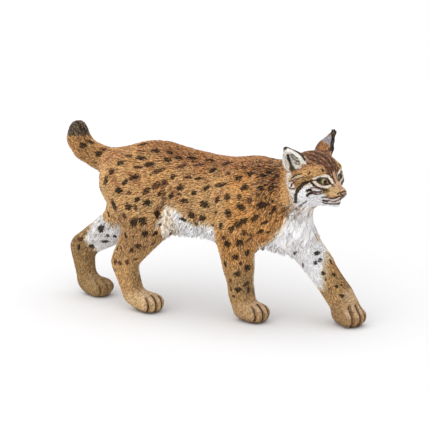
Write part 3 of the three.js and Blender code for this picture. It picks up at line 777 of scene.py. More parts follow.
# Signed distance into the white and cream areas of the body
def whiteness(points, normals, parts):
    x, y, z = points.T
    left = parts["left"]
    chest = np.minimum(x - borderAt(chestBorder, z) - 3.5 * ramp(1, 8, y), 8)
    body = np.maximum(chest, borderAt(bellyBorder, x) - z)
    inner = np.where(left, -normals[:, 1], normals[:, 1])
    farHind = np.minimum(x - borderAt(farHindBorder, z), (inner + 0.15) * 6)
    hind = np.where(left, np.minimum(farHind, z - 12), np.minimum((inner - 0.1) * 6, z - 14))
    farFore = np.minimum(41 - x, (inner + 0.3) * 6)
    fore = np.minimum(np.where(left, farFore, (inner - 0.15) * 6), z - 12)
    value = np.where(parts["trunk"] + parts["neck"] > 0.5, body, -9.0)
    value = np.where(parts["hind_leg"] > 0.5, hind, value)
    return np.where(parts["front_leg"] > 0.5, fore, value)


def blend(colours, colour, share):
    return colours + np.clip(share, 0, 1)[:, None] * (colour - colours)


def baseColours(points, normals, parts):
    colours = np.tile(bodyPaint["tan"], (len(points), 1))

    def lay(colour, share):
        colours[:] = blend(colours, bodyPaint[colour] if isinstance(colour, str) else colour, share)

    x, y, z = points.T
    soft, fine, drift = 0.9 * ripple(points, 7, 1), 0.5 * ripple(points, 2.6, 2), ripple(points, 9, 11)
    trunk, neck, hind, fore, tail, paw = (
        parts[kind] for kind in ("trunk", "neck", "hind_leg", "front_leg", "tail", "paw"))
    body, legs = trunk + neck, hind + fore
    lay("low flank", ramp(48, 38, z + 2 * soft) * trunk)
    lay("shoulder", ramp(8, 16, x + soft) * body)
    lay("light drift", 0.6 * ramp(0.1, 0.9, drift))
    lay("rusty drift", 0.6 * ramp(-0.1, -0.9, drift))
    lay("nape", neck * ramp(43, 50, z + 2 * soft) * ramp(18, 26, x))
    lay("leg", 0.75 * hind)
    lay("foreleg", fore)
    lay("shin", legs * ramp(26, 15, z + soft))
    lay("hind shin", 0.9 * hind * ramp(24, 13, z + soft))
    # Painted shade: olive darkening on the forward-facing side of the lower legs
    lay("olive shade", 0.45 * legs * ramp(24, 12, z) * ramp(0.2, 0.8, normals[:, 0]))
    upwards = normals[:, 2] + 0.12 * soft - 0.34 * ramp(-8, -24, x)
    lay("back", ramp(0.15, 0.85, upwards) * ramp(46, 53, z) * body)
    lay("tail", tail)
    lay("tail tip", tail * ramp(57.0, 58.4, z + fine))
    lay("paw", paw)
    lay("far fore paw", 0.6 * paw * (x > 38))
    lay("near hind paw", 0.8 * paw * (x < -10) * (y < 0))
    # Painted highlight: paler cream on the upward-facing tops of the toes
    lay("toe top highlight", 0.7 * paw * ramp(0.1, 0.8, normals[:, 2]) * ramp(1.6, 2.8, z))
    mottle = ramp(0.2, 0.9, ripple(points, 1.1, 18)) * (paw + legs * ramp(22, 16, z))
    lay("mottle", 0.4 * mottle)
    # Painted shade: darker brown low on the paws, next to the floor
    lay("paw shade by the floor", 0.7 * paw * ramp(2.2, 0.5, z + 0.4 * fine))
    lay("toe shade", 0.7 * ramp(0.2, 0.8, grooves(points, 0.6)) * (z < 8))
    lay("toe groove", ramp(0.36, 0.7, grooves(points, 0.34)) * (z < 8))
    # Painted shade: brown darkening along the creases where limbs meet the body
    for path, width in laidCreaseShade:
        lay("crease shade", 0.7 * ramp(width, 0.3 * width, nearPath(points, path, 3)))

    # White and cream, with grey specks on the far thigh and strokes on the fold before the near one
    value = whiteness(points, normals, parts) + 0.6 * fine + 0.3 * soft + 0.8 * ripple(points, 2.0, 19) * hind
    lay("cream", 0.85 * ramp(-1.6, 0.2, value))
    lay("white", ramp(0, 1.6, value))
    shade = parts["left"] * (hind * ramp(30, 24, z) + paw * (x < 0))
    lay("far hind shade", 0.75 * shade * ramp(0.5, -0.5, value))
    lay("grey specks", 0.6 * (hind * ramp(0, 1, value) * ramp(0.2, 0.8, ripple(points, 1.6, 15))))
    cream = ramp(-7.0, -10.5, x + soft) * ramp(0, 1, value) * trunk
    lay("fold cream", 0.9 * cream)
    lay("fold strokes", 0.6 * cream * ramp(0.75, 0.95, np.sin(4.2 * x + 2.2 * z + 2 * fine)))

    # Face
    head = toHead(points)
    folded = foldOver(head)
    edge = head[:, 0] - borderAt(cheekEdge, head[:, 2]) + 0.25 * fine
    isHead = np.clip(parts["head"] + ramp(1.5, 3.5, head[:, 0]) * (z > 38), 0, 1)
    lay("head", parts["head"] * ramp(-0.4, 0.4, edge))
    lay("white", parts["head"] * ramp(-7.6, -8.6, head[:, 2]))
    stray = 0.2 * ripple(points, 1.6, 3)
    for colour, path, reach, softness in faceLaid:
        value = reach - nearPath(folded, path, reach + softness + 1) + stray * min(softness, 1) * 1.5
        lay(colour, isHead * ramp(-softness, softness, value))

    # Dark and light strokes on the nape, and along the crown
    strokes = np.sin(7 * y + 3 * z + 2.2 * ripple(points, 3.5, 16)) + 0.6 * ripple(points, 1.1, 17)
    nape = body * ramp(34, 42, z) * ramp(16, 24, x)
    lay("nape dark", 0.85 * nape * ramp(0.2, 0.9, strokes))
    lay("nape blotch", 0.75 * nape * ramp(0.2, 0.8, ripple(points, 2.4, 20)))
    lay("nape light", 0.5 * nape * ramp(-0.3, -0.9, strokes))
    streaks = np.sin(9.5 * folded[:, 1] + 1.6 * ripple(points, 3.2, 13)) + 0.5 * ripple(points, 0.9, 14)
    crown = isHead * ramp(4.6, 6.2, head[:, 2] + 0.25 * head[:, 0]) * (1 - parts["ear"])
    lay("crown dark", 0.75 * crown * ramp(0.35, 0.95, streaks))
    lay("crown light", 0.6 * crown * ramp(-0.5, -1.0, streaks))
    for path, width, pale in crownLaid:
        value = strokeValue(folded, path, width) + 0.6 * ripple(points, 1.4, 12)
        kind, strength = ("pale stroke", 0.75) if pale else ("dark stroke", 0.85)
        lay(kind, isHead * ramp(-0.25, 0.45, value) * strength)
    paintEars(lay, points, normals, parts)
    return colours


def paintEars(lay, points, normals, parts):
    head = toHead(points)
    side = np.where(head[:, 1] > 0, 1, -1)
    isLeft = side > 0
    local = normals @ headTurn
    local[:, 1] *= side
    facing = local @ np.array(earPaint["hollow way"])
    front = ramp(-0.05, 0.15, facing - 0.7 * isLeft)
    ear = parts["ear"]
    stray = 0.3 * ripple(points, 1.2, 6)
    back = np.tile(bodyPaint["ear back"], (len(points), 1))
    lay(blend(back, bodyPaint["ear back shade"], ramp(0.2, -0.6, local[:, 0])), ear)
    patch = 1.3 - nearPath(foldOver(head), earPaint["patch"], 3) + stray
    lay("ear patch", ear * (1 - front) * ramp(-0.6, 0.5, patch))
    lay("ear hollow", ear * front)
    rim = ramp(0.34, 0.16, np.abs(facing - 0.02 - 0.5 * isLeft)) * ramp(6.4, 7.6, head[:, 2])
    lay("ear rim", ear * rim)
    around = np.clip(ear + parts["head"] * ramp(2.0, 3.0, head[:, 2]) * ramp(2.5, 1.5, head[:, 0]), 0, 1)
    for colour, path, width in earLaid:
        lay(colour, around * ramp(-0.15, 0.3, strokeValue(head, path, width) + 0.4 * stray))
    for sign, tip in earPaint["tips"].items():
        lay("ear tip", ear * (side == sign) * ramp(2.2, 1.6, nearPath(head, tip, 3) + stray))


# Face paths are laid on the near side of the skin and folded onto the left half
def layFace(path):
    return foldOver(toHead(layPath(fromHead(np.asarray(path, float) * (1, -1, 1)), 0.5)))


laidCreaseShade = [(layPath(path, 0.5), width) for path, width in bodyCreaseShade]
crownLaid = [(layFace(path), width, pale) for path, width, pale in crownStrokes]
faceLaid = [(tint(*colour), layFace(path), reach, softness) for colour, path, reach, softness in facePaint]
blackLaid = [(layFace(path), width) for path, width in blackLines]
brownLaid = [(layFace(path), width) for path, width in brownLines]
earLaid = [(tint(*colour), toHead(layPath(fromHead(path), 0.4)), width) for colour, path, width in earLines]


# Body spots read off the photograph: x and z in the body's frame, length, width, tilt in degrees,
# found on the near side of the skin. A sixth value of 1 is a reddish spot.
nearSpots = {
    "rump and thigh": [
        (-22.6, 56.3, 3.8, 1.5, 10), (-16.6, 55.2, 2.9, 1.4, 5), (-12, 55, 2.8, 1, -5),
        (-25.4, 53.2, 2.2, 1.2, 30), (-21.1, 52.9, 3.3, 1.3, 3), (-27.4, 51.2, 2.4, 1.8, 40),
        (-29.6, 48.6, 2.2, 1.5, 75), (-31.4, 45.4, 3.2, 1.9, 80), (-21.3, 50.2, 2.6, 1.1, 15, 1),
        (-17.5, 51.2, 3.6, 1.4, 12), (-11.8, 52.8, 2.3, 1.4, 20), (-21.7, 47.2, 3.2, 1.7, 25),
        (-24.2, 45.7, 2.2, 1.4, 45), (-26.3, 43, 2.1, 2, 0), (-22.7, 42.4, 1.6, 1.1, 30, 1),
        (-17.8, 42.7, 2.6, 1.4, 35), (-15, 44.4, 2.4, 1.8, 40, 1), (-14.5, 49.3, 4.2, 1.2, 28, 1),
        (-11.9, 45.8, 1.9, 1.6, 0, 1), (-14, 41.6, 1.4, 1.3, 0), (-19.9, 40.1, 1.8, 1.4, 60),
        (-17.1, 39, 2.8, 2, 30), (-28.3, 37.4, 3.2, 1.8, 100), (-22.6, 37.9, 2.3, 1.9, -60),
        (-20.2, 37.6, 1.8, 1.2, -60, 1), (-14.1, 35, 2.3, 2.2, 0), (-20.2, 32.8, 2.9, 2.2, 50),
        (-17.3, 33.4, 2.5, 2.1, 0), (-24.1, 34.6, 1.6, 1.3, 0, 1), (-26.3, 32.4, 1.5, 1, 0, 1),
        (-13.2, 31.6, 1.8, 1, 30, 1), (-23.9, 27.9, 1.6, 1.4, 110), (-16.4, 29.3, 2.1, 1.9, 0),
        (-13.6, 29.2, 2, 1.2, 10), (-14.8, 25.5, 1.8, 1, 20, 1), (-19.3, 24.6, 2.4, 1.8, 20),
        (-21.9, 22.7, 1.5, 1.4, 0), (-17.6, 24.2, 1.1, 0.9, 0, 1), (-28, 22.2, 1.4, 1.2, 90),
        (-26, 23, 1, 0.8, 90, 1), (-29, 17.5, 2, 1, 75, 1), (-27, 17.4, 1.4, 1.2, 0, 1),
        (-24.3, 18.1, 2, 1.2, 70, 1), (-21.6, 19.2, 1.7, 0.9, 0, 1),
    ],
    "flank": [
        (-8.4, 53.6, 3, 1.1, 2), (-4.1, 53.6, 2.8, 1.2, 3), (2.1, 53.3, 3, 0.9, 5),
        (6.3, 53.4, 1.8, 0.6, 0, 1), (8.9, 53, 4, 1.3, 8), (-6.3, 51.3, 2.8, 1, 25, 1),
        (-1.1, 51.8, 2.6, 0.9, 8, 1), (4.4, 50.7, 2.8, 1.3, 30), (-9.3, 47.8, 2.4, 1.4, 30),
        (-4, 48, 2.2, 0.9, 15, 1), (0, 47.9, 2.8, 0.9, 8), (-6.4, 44.6, 2.6, 1.7, 20),
        (3, 45.2, 3.2, 1.1, 38), (-1.2, 43.1, 1.8, 1.3, 20), (8.3, 46.8, 4.5, 1.2, 12),
        (10.5, 50.5, 1.6, 1, 0, 1), (-9.7, 41.4, 2.6, 1.2, 45), (-4.6, 40.2, 2.9, 1.2, 3),
        (-6.7, 42.3, 1.5, 0.8, 0, 1), (2.5, 39.7, 3.1, 1.8, 5), (7.5, 42, 2.1, 1.5, 35),
        (11.7, 43.5, 2.2, 2.2, 50), (-2.4, 35.6, 2, 1.8, 0), (-5.9, 34, 2.4, 1.3, -20),
        (1.6, 35, 2.4, 1.9, 30), (7, 37.6, 0.9, 0.8, 0), (12.5, 38.7, 2.7, 2.2, 0),
        (-0.9, 32.9, 1.4, 0.9, 0, 1), (9.9, 34, 2, 2, 0), (13.6, 33.4, 1.9, 1.6, 60),
        (16, 35.3, 2.6, 2.2, 60), (11.1, 30.4, 1.4, 1.2, 0, 1), (12.2, 28.2, 2.2, 2, 100),
        (5.5, 33, 1.6, 0.6, 0),
    ],
    "shoulder and neck": [
        (14.5, 49.6, 2.3, 1.9, 10), (15.8, 52.8, 2, 1, 0, 1), (18.2, 51.1, 1.9, 1.6, 30),
        (17.2, 47.1, 2.2, 2, 60), (22.3, 47, 1.8, 1.4, 0), (22.5, 50.7, 2.2, 0.9, 10),
        (24.3, 51.9, 2.2, 1.6, 40), (27.4, 50.8, 1.8, 1, 0), (25.9, 47.2, 2.6, 1.6, 65),
        (29.7, 49, 1.8, 1.6, 0), (30.4, 45.8, 2.3, 2, 0), (16.2, 44.4, 1.6, 1.6, 0, 1),
        (19.5, 43.3, 1.7, 1.7, 0, 1), (17.2, 41.2, 3, 1.8, -25), (23.2, 41.9, 4, 1.9, 15),
        (26.4, 39.8, 3, 1.2, 50), (21.2, 37.6, 2.8, 1.6, 35), (18.1, 36.7, 2.2, 2, 40),
        (23.6, 35.8, 2.7, 1.2, 25), (21.9, 32.5, 2.4, 1.4, 35), (24.7, 32.3, 1.9, 0.9, 15),
        (17.7, 32.3, 1.8, 1.8, 0, 1), (19.2, 31.6, 1, 0.8, 0, 1), (16.2, 28.8, 2.3, 2.3, 0),
        (18.6, 29.9, 2.6, 0.9, 20, 1), (26.5, 43.2, 0.9, 0.6, 90), (27.5, 36.5, 1, 0.6, 0, 1),
        (21, 53.2, 3.2, 0.6, -20, 1), (23.6, 53.8, 3, 0.5, -30, 1), (26, 53.4, 3, 0.6, -35, 1),
    ],
    "near front leg": [
        (17.6, 24.8, 2.1, 1.8, 30), (14.4, 23.6, 1.8, 1.6, 90), (17.6, 19.7, 2.2, 2.2, 40),
        (14.8, 17.6, 2, 2, -60), (10.5, 20.7, 1.8, 1.2, 90), (12, 15, 1.8, 0.8, 70, 1),
        (16.9, 13.9, 2.2, 1.2, 10), (14.5, 11.9, 2.2, 1.8, 0), (17.2, 11.7, 2, 1, 80),
        (11.9, 11.6, 1.5, 0.8, 90), (12.6, 9.3, 1.2, 1, 0, 1), (15.8, 21.5, 1.4, 1, 90, 1),
    ],
    "tail": [
        (-37.4, 53.4, 2.2, 1.2, -20, 1), (-38.5, 52.1, 2.3, 1.9, 0), (-34, 51, 2.4, 1.2, 28, 1),
        (-44.4, 54.5, 2.2, 1.8, 0), (-42.6, 55.3, 2.6, 1.4, 20), (-40.4, 55.3, 4, 0.8, -12),
    ],
}
innerSpots = [  # on the far legs' inner sides
    (38.1, 24, 2.4, 1.2, 30), (39.3, 21.9, 1.2, 1.2, 0), (38, 21.2, 1.4, 1.4, 0), (40.7, 17.8, 1.3, 1.2, 0),
    (41.5, 15.8, 1.2, 0.6, 90), (40.2, 24, 1.8, 1.2, -60), (42, 21, 1.5, 0.9, -60),
    (43.8, 17.2, 1.6, 0.9, -50), (45.4, 13.7, 1.2, 1, 0), (46.4, 14, 1.2, 0.7, 0), (47.2, 10.8, 1.4, 1, 0),
    (43, 12.8, 0.8, 0.5, 0, 1), (42.3, 9.9, 0.5, 0.5, 0, 1), (31, 23.9, 2.2, 0.8, 60, 1),
    (33.4, 19.6, 1.6, 0.8, 70, 1), (-40.3, 24.8, 3.3, 2, 45), (-37.2, 30.2, 2, 1, -45),
    (-38.6, 31.6, 1.2, 0.8, 0), (-35.3, 22.5, 1.3, 1.1, 0), (-39.2, 20.3, 2.5, 1.4, 8),
    (-48.8, 19.9, 2.2, 1.3, 10, 1), (-44.4, 18, 2, 1.8, 0), (-49.2, 17.1, 1.6, 1.2, 90),
    (-37.7, 22.6, 1.2, 1.2, 0, 1),
]
# Depth is a spot's reach under and over its own plane, strokes how ragged its ends are
spotShape = {"longer": 1.2, "wider": 1.24, "depth": 3.0, "strokes": 0.2}
# Far spots keep a gap; those on the lower legs are smaller and closer
farSpots = {
    "gap": 4.3, "length": (1.8, 3.2), "width": (1.2, 1.9), "rust share": 0.3,
    "leg top": 26, "leg gap": 0.8, "leg size": 0.75,
    # Where they may lie: turned from the view, off the white, not underneath, clear of paws and face
    "view": (0.36, -0.9, 0.24), "turned": 0.2, "off white": -0.5, "underneath": -0.75,
    "lowest": 9.5, "face": -7, "spine": (1.6, 0.9),
}


def readSpot(spot, startY):
    x, z, length, width, tilt = spot[:5]
    hit, normal, _, _ = surface.ray_cast((x, startY, z), (0, 1, 0), 60)
    if hit is None:
        return None
    normal = np.array(normal)
    along = np.array((math.cos(math.radians(tilt)), 0, math.sin(math.radians(tilt))))
    along = unit(along - normal * (along @ normal))
    return {"centre": np.array(hit), "normal": normal, "along": along, "length": length * spotShape["longer"],
            "width": width * spotShape["wider"], "rust": len(spot) > 5}


# Spots for the sides that the photograph doesn't show, kept apart from each other
def scatterSpots(made, points, normals, flow, parts):
    halfWidth, upright = farSpots["spine"]
    room = normals @ np.array(farSpots["view"]) < farSpots["turned"]
    room &= whiteness(points, normals, parts) < farSpots["off white"]
    room &= (normals[:, 2] > farSpots["underneath"]) & (points[:, 2] > farSpots["lowest"])
    room &= (parts["trunk"] + parts["neck"] + parts["hind_leg"] + parts["front_leg"]) > 0.6
    room &= toHead(points)[:, 0] < farSpots["face"]
    spine = (np.abs(points[:, 1]) < halfWidth) & (normals[:, 2] > upright)
    centres = [spot["centre"] for spot in made]
    for n in dice.permutation(np.flatnonzero(room & ~spine)):
        onLeg = points[n, 2] < farSpots["leg top"]
        gap = farSpots["gap"] * (farSpots["leg gap"] if onLeg else 1)
        if np.min(np.linalg.norm(np.array(centres) - points[n], axis=1)) < gap:
            continue
        size = (farSpots["leg size"] if onLeg else 1) * spotShape["longer"]
        made.append({
            "centre": points[n], "normal": normals[n], "along": flow[n],
            "length": dice.uniform(*farSpots["length"]) * size,
            "width": dice.uniform(*farSpots["width"]) * size,
            "rust": dice.random() < farSpots["rust share"],
        })
        centres.append(points[n])
    return made


# Values above 0 inside a spot, for the dark ones and the reddish ones
def spotValues(points, spots):
    values = {False: np.full(len(points), -3.0), True: np.full(len(points), -3.0)}
    for spot in spots:
        reach = max(spot["length"], spot["width"]) * 1.1
        near = np.flatnonzero((np.abs(points - spot["centre"]) < reach).all(1))
        if not len(near):
            continue
        offset = points[near] - spot["centre"]
        ahead, aside = offset @ spot["along"], offset @ np.cross(spot["normal"], spot["along"])
        far = (ahead / (spot["length"] / 2)) ** 2 + (aside / (spot["width"] / 2)) ** 2
        far += (offset @ spot["normal"] / spotShape["depth"]) ** 2
        strokes = spotShape["strokes"] * np.sin(aside * 13 + spot["length"] * 9 + 0.8 * np.sin(ahead * 5))
        kind = values[spot["rust"]]
        kind[near] = np.maximum(kind[near], 1 - np.sqrt(far) + strokes)
    return values[False], values[True]


# Dark paint, reddish paint and an empty third value, above 0 inside each mark
def markValues(points, spots, parts):
    folded = foldOver(toHead(points))
    isHead = (parts["head"] > 0.3) | (parts["ear"] > 0.3)
    marks = []
    for value, lines in zip(spotValues(points, spots), (blackLaid, brownLaid)):
        best = np.full(len(points), -3.0)
        for path, width in lines:
            best = np.maximum(best, strokeValue(folded, path, width))
        marks.append(np.where(isHead, best, value))
    return np.stack([*marks, np.zeros(len(points))], 1)


# The way the fur lies, before it is laid on the surface
def lieOfFur(points, normals, parts):
    x, y, z = points.T
    droop = 1 - np.abs(normals[:, 2])
    flows = np.zeros((len(points), 3))

    def lie(share, ax, ay, az):
        way = np.stack([np.broadcast_to(v, x.shape) for v in (ax, ay, az)], 1)
        flows[:] += share[:, None] * way

    trunk, neck = parts["trunk"], parts["neck"]
    chest = ramp(0.0, 0.5, normals[:, 0]) * ramp(18, 26, x) + ramp(34, 28, z) * ramp(14, 20, x)
    lie(trunk, -1, 0, -0.45 * droop)
    lie((trunk + neck) * np.clip(chest, 0, 1), 0.7, 0, -1.2)
    lie(neck, -0.8, 0, -0.55 * droop)
    lie(trunk * ramp(-27, -34, x), 0.4, 0, -1)
    lie(parts["hind_leg"], -0.3, 0, -1)
    lie(parts["front_leg"], np.where(parts["left"], 0.35, 0.05), 0, -1)
    lie(parts["tail"], -0.75, 0, 0.65)
    for (px, py), yaw, _ in paws.values():
        mine = parts["paw"] * (np.hypot(x - px, y - py) < 9)
        lie(mine, math.cos(math.radians(yaw)), math.sin(math.radians(yaw)), -0.35)
    head = toHead(points)
    radial = unit(head - (10.5, 0, -2.5))
    radial += (0, 0, -1) * (ramp(1, -5, head[:, 2]) * ramp(5, 8, np.abs(head[:, 1])))[:, None]
    lie(parts["head"], *(radial @ headTurn.T).T)
    up = np.stack([np.full(len(x), -0.15), 0.35 * np.sign(head[:, 1]), np.ones(len(x))], 1)
    lie(parts["ear"], *(up @ headTurn.T).T)
    return flows


def layFlat(ways, normals):
    return unit(ways - normals * dot(ways, normals)[:, None])


partNames = {
    "trunk": ("trunk",), "neck": ("neck",), "head": ("head",), "ear": ("ear",), "tail": ("tail",),
    "hind_leg": ("hind_leg",), "front_leg": ("front_leg",), "paw": ("front_paw", "hind_paw"),
}
partRounds = {"head": 5, "ear": 2, "paw": 8}  # how softly a part runs into the next, else 10


def softParts(mesh, points):
    labels = nodeOf(points)
    parts = {
        kind: spread(isPart(labels, *names).astype(float), edgesOf(mesh), partRounds.get(kind, 10))
        for kind, names in partNames.items()
    }
    parts["left"] = np.array([name.endswith("left") for name in fleshNodes])[labels]
    return parts


points, normals, edges = pointsOf(skin.data), normalsOf(skin.data), edgesOf(skin.data)
parts = softParts(skin.data, points)
flow = layFlat(lieOfFur(points, normals, parts), normals)
for _ in range(3):
    flow = layFlat(spreadColumns(flow, edges, 6), normals)
print("lie of the fur worked out")

spots = [readSpot(spot, -40) for group in nearSpots.values() for spot in group]
spots += [readSpot(spot, 0 if spot[0] > 0 else -1) for spot in innerSpots]
spots = scatterSpots([spot for spot in spots if spot], points, normals, flow, parts)
print(len(spots), "spots placed")


# Tufts: long closed drops, each a row of sections laid along the skin
tuftStyles = {  # length, width, height, gap between roots
    "trunk": (1.5, 0.40, 0.20, 0.46),
    "neck": (1.8, 0.44, 0.22, 0.48),
    "hind_leg": (1.3, 0.38, 0.16, 0.43),
    "front_leg": (1.25, 0.38, 0.15, 0.43),
    "shin": (1.2, 0.30, 0.07, 0.40),
    "paw": (0.8, 0.26, 0.035, 0.40),
    "tail": (1.5, 0.40, 0.18, 0.44),
    "head": (1.0, 0.28, 0.10, 0.32),
    "muzzle": (0.6, 0.20, 0.05, 0.28),
    "ear": (1.0, 0.28, 0.06, 0.34),
}
tuftForm = {  # stations: along, width, height; section: across, height
    "stations": [(0.3, 0.8, 0.85), (0.6, 1.0, 1.0), (0.82, 0.65, 0.75)],
    "section": [(-0.5, -0.35), (0.0, 1.0), (0.5, -0.35)],
}
lockForm = {
    "stations": [(0.12, 0.7, 0.6), (0.3, 1.0, 0.95), (0.5, 1.0, 1.0), (0.7, 0.8, 0.85), (0.87, 0.5, 0.6)],
    "section": [(-0.5, -0.3), (-0.3, 0.75), (0.0, 0.62), (0.28, 1.0), (0.5, -0.3)],
}
tuftLie = {
    "root sink": 0.12, "follow": 0.8, "sway": 5.5,
    "tip height": 0.35, "root relief": 0.1, "tip relief": 0.9,
    "swirl": 10,  # degrees either way
}


# Builds closed drops in one go. Sizes, lift and free have one entry per tuft; free 1 leaves the skin.
def growTufts(roots, normals, ways, style, form):
    count, length = len(roots), style["length"]
    width, height, free = style["width"], style["height"], style["free"][:, None]
    place, normal, way = roots, normals, ways
    phase = dice.uniform(0, 6.28, count)
    rows, reliefs = [(place - tuftLie["root sink"] * normal)[:, None]], [tuftLie["root relief"]]
    last = 0.0
    for along, wide, high in [*form["stations"], (1.0, 0.0, tuftLie["tip height"])]:
        moved = place + way * (length * (along - last))[:, None]
        last = along
        held = [surface.find_nearest(p) for p in moved.tolist()]
        laid = np.array([h[0][:] for h in held])
        facing = np.array([h[1][:] for h in held])
        place = laid + free * (moved - laid)
        normal = unit(normal + (1 - free) * (facing - normal) * tuftLie["follow"])
        way = unit(way - (1 - free) * normal * dot(way, normal)[:, None])
        across = np.cross(normal, way)
        sway = np.sin(phase + tuftLie["sway"] * along) - np.sin(phase)
        swing = style["wave"] * sway * min(along * 2, 1)
        middle = place + across * swing[:, None] + normal * (style["lift"] * along)[:, None]
        for aside, rise in form["section"] if wide else [(0, 1)]:
            corner = middle + across * (aside * wide * width)[:, None]
            rows.append((corner + normal * (rise * high * height)[:, None])[:, None])
            reliefs.append(max(rise, tuftLie["root relief"]) if wide else tuftLie["tip relief"])
    corners = np.concatenate(rows, 1)
    offsets = np.arange(count)[:, None, None] * corners.shape[1]
    faces = tuftFaces(len(form["stations"]), len(form["section"]))
    return corners.reshape(-1, 3), (faces[None] + offsets).reshape(-1, 3), np.tile(reliefs, count)


def tuftFaces(stations, ring):
    faces = []
    tip = 1 + stations * ring
    for n in range(ring):
        m = (n + 1) % ring
        faces.append((0, 1 + m, 1 + n))
        for s in range(stations - 1):
            a, b = 1 + s * ring, 1 + (s + 1) * ring
            faces += [(a + n, a + m, b + m), (a + n, b + m, b + n)]
        a = 1 + (stations - 1) * ring
        faces.append((a + n, a + m, tip))
    return np.array(faces)


def unwrapSkin():
    pick(skin)
    bpy.ops.object.mode_set(mode="EDIT")
    bpy.ops.mesh.select_all(action="SELECT")
    bpy.ops.uv.smart_project(angle_limit=math.radians(70), island_margin=0.004)
    bpy.ops.object.mode_set(mode="OBJECT")
    return readAll(skin.data.uv_layers[0].uv, "vector", 2).astype(float)


skinUv = unwrapSkin()
skin.data.calc_loop_triangles()
corners = readAll(skin.data.loop_triangles, "vertices", 3, np.int32)
loops = readAll(skin.data.loop_triangles, "loops", 3, np.int32)
a, b, c = (points[corners[:, n]] for n in range(3))
areas = np.linalg.norm(np.cross(b - a, c - a), axis=1) / 2
print("skin unwrapped")


# Seeded roots over the skin, of which one is kept in each cell, thinned where share is low
rootCells = {"tries": 5.0, "size": 1.2, "levels": 6}


def dropRoots(gap, share):
    faceGap = gap[corners].mean(1)
    wanted = areas / faceGap**2 * rootCells["tries"] * share[corners].mean(1)
    counts = np.floor(wanted + dice.random(len(areas))).astype(int)
    face = np.repeat(np.arange(len(areas)), counts)
    face = face[dice.permutation(len(face))]
    u, v = dice.random(len(face)), dice.random(len(face))
    flip = u + v > 1
    u, v = np.where(flip, 1 - u, u), np.where(flip, 1 - v, v)
    weights = np.stack([1 - u - v, u, v], 1)
    place = atRoots(points, face, weights)
    level = np.round(np.log(faceGap[face]) * rootCells["levels"])
    place = place / (np.exp(level / rootCells["levels"]) * rootCells["size"])[:, None]
    cell = np.floor(place)
    order = np.argsort(np.linalg.norm(place - cell - 0.5, axis=1))
    keys = np.concatenate([level[:, None], cell], 1)[order].astype(int)
    kept = order[np.unique(keys, axis=0, return_index=True)[1]]
    return face[kept], weights[kept]


def weighted(found, weights):
    return (found * (weights[:, :, None] if found.ndim == 3 else weights)).sum(1)


def atRoots(values, face, weights):
    return weighted(values[corners[face]], weights)


def turned(ways, normals, degrees):
    angle = np.radians(degrees)[:, None]
    return ways * np.cos(angle) + np.cross(normals, ways) * np.sin(angle)


uvRing = 0.0015


# Each tuft's corners lie in a tiny ring round its root on the skin's own map
def addUv(mesh, corners, size, rootUv):
    angles = 6.28 * np.arange(size) / size
    ring = uvRing * np.stack([np.cos(angles), np.sin(angles)], 1)
    uv = (rootUv[:, None] + ring[None]).reshape(-1, 2)
    mesh.uv_layers.new(name="OFBake").uv.foreach_set("vector", flat(uv[corners.ravel()]))


# The paint on a piece: its colour, its marks, and per tuft the relief, tone and dash
def addLooks(mesh, colours, marks, fur):
    layer = mesh.attributes.new("coatColour", "FLOAT_COLOR", "POINT")
    layer.data.foreach_set("color", flat(np.concatenate([colours, np.ones((len(colours), 1))], 1)))
    for name, values in (("marks", marks), ("fur", fur)):
        layer = mesh.attributes.new(name, "FLOAT_VECTOR", "POINT")
        layer.data.foreach_set("vector", flat(values))


def triangleMesh(name, points, faces):
    mesh = bpy.data.meshes.new(name)
    mesh.vertices.add(len(points))
    mesh.loops.add(len(faces) * 3)
    mesh.polygons.add(len(faces))
    mesh.vertices.foreach_set("co", flat(points * mm))
    mesh.loops.foreach_set("vertex_index", flat(faces, np.int32))
    mesh.polygons.foreach_set("loop_start", np.arange(len(faces), dtype=np.int32) * 3)
    mesh.update(calc_edges=True)
    return linked(name, mesh)


# Stray dashes of dark or light paint on single tufts; and the parts painted plainer, with fewer
# dashes and less wash, up to "most"
strayPaint = {
    "dark dash": 0.24, "more on the neck": 0.2, "light dash": 0.84, "light": -0.9, "dark": (0.5, 1),
    "less when plain": 0.7, "less on the head": 0.6, "plain relief": 0.74, "white from": 0.6,
}
plainness = {"paw": 0.26, "shin": 0.26, "ear": 0.45, "head": 0.25, "white": 0.35, "most": 0.6}


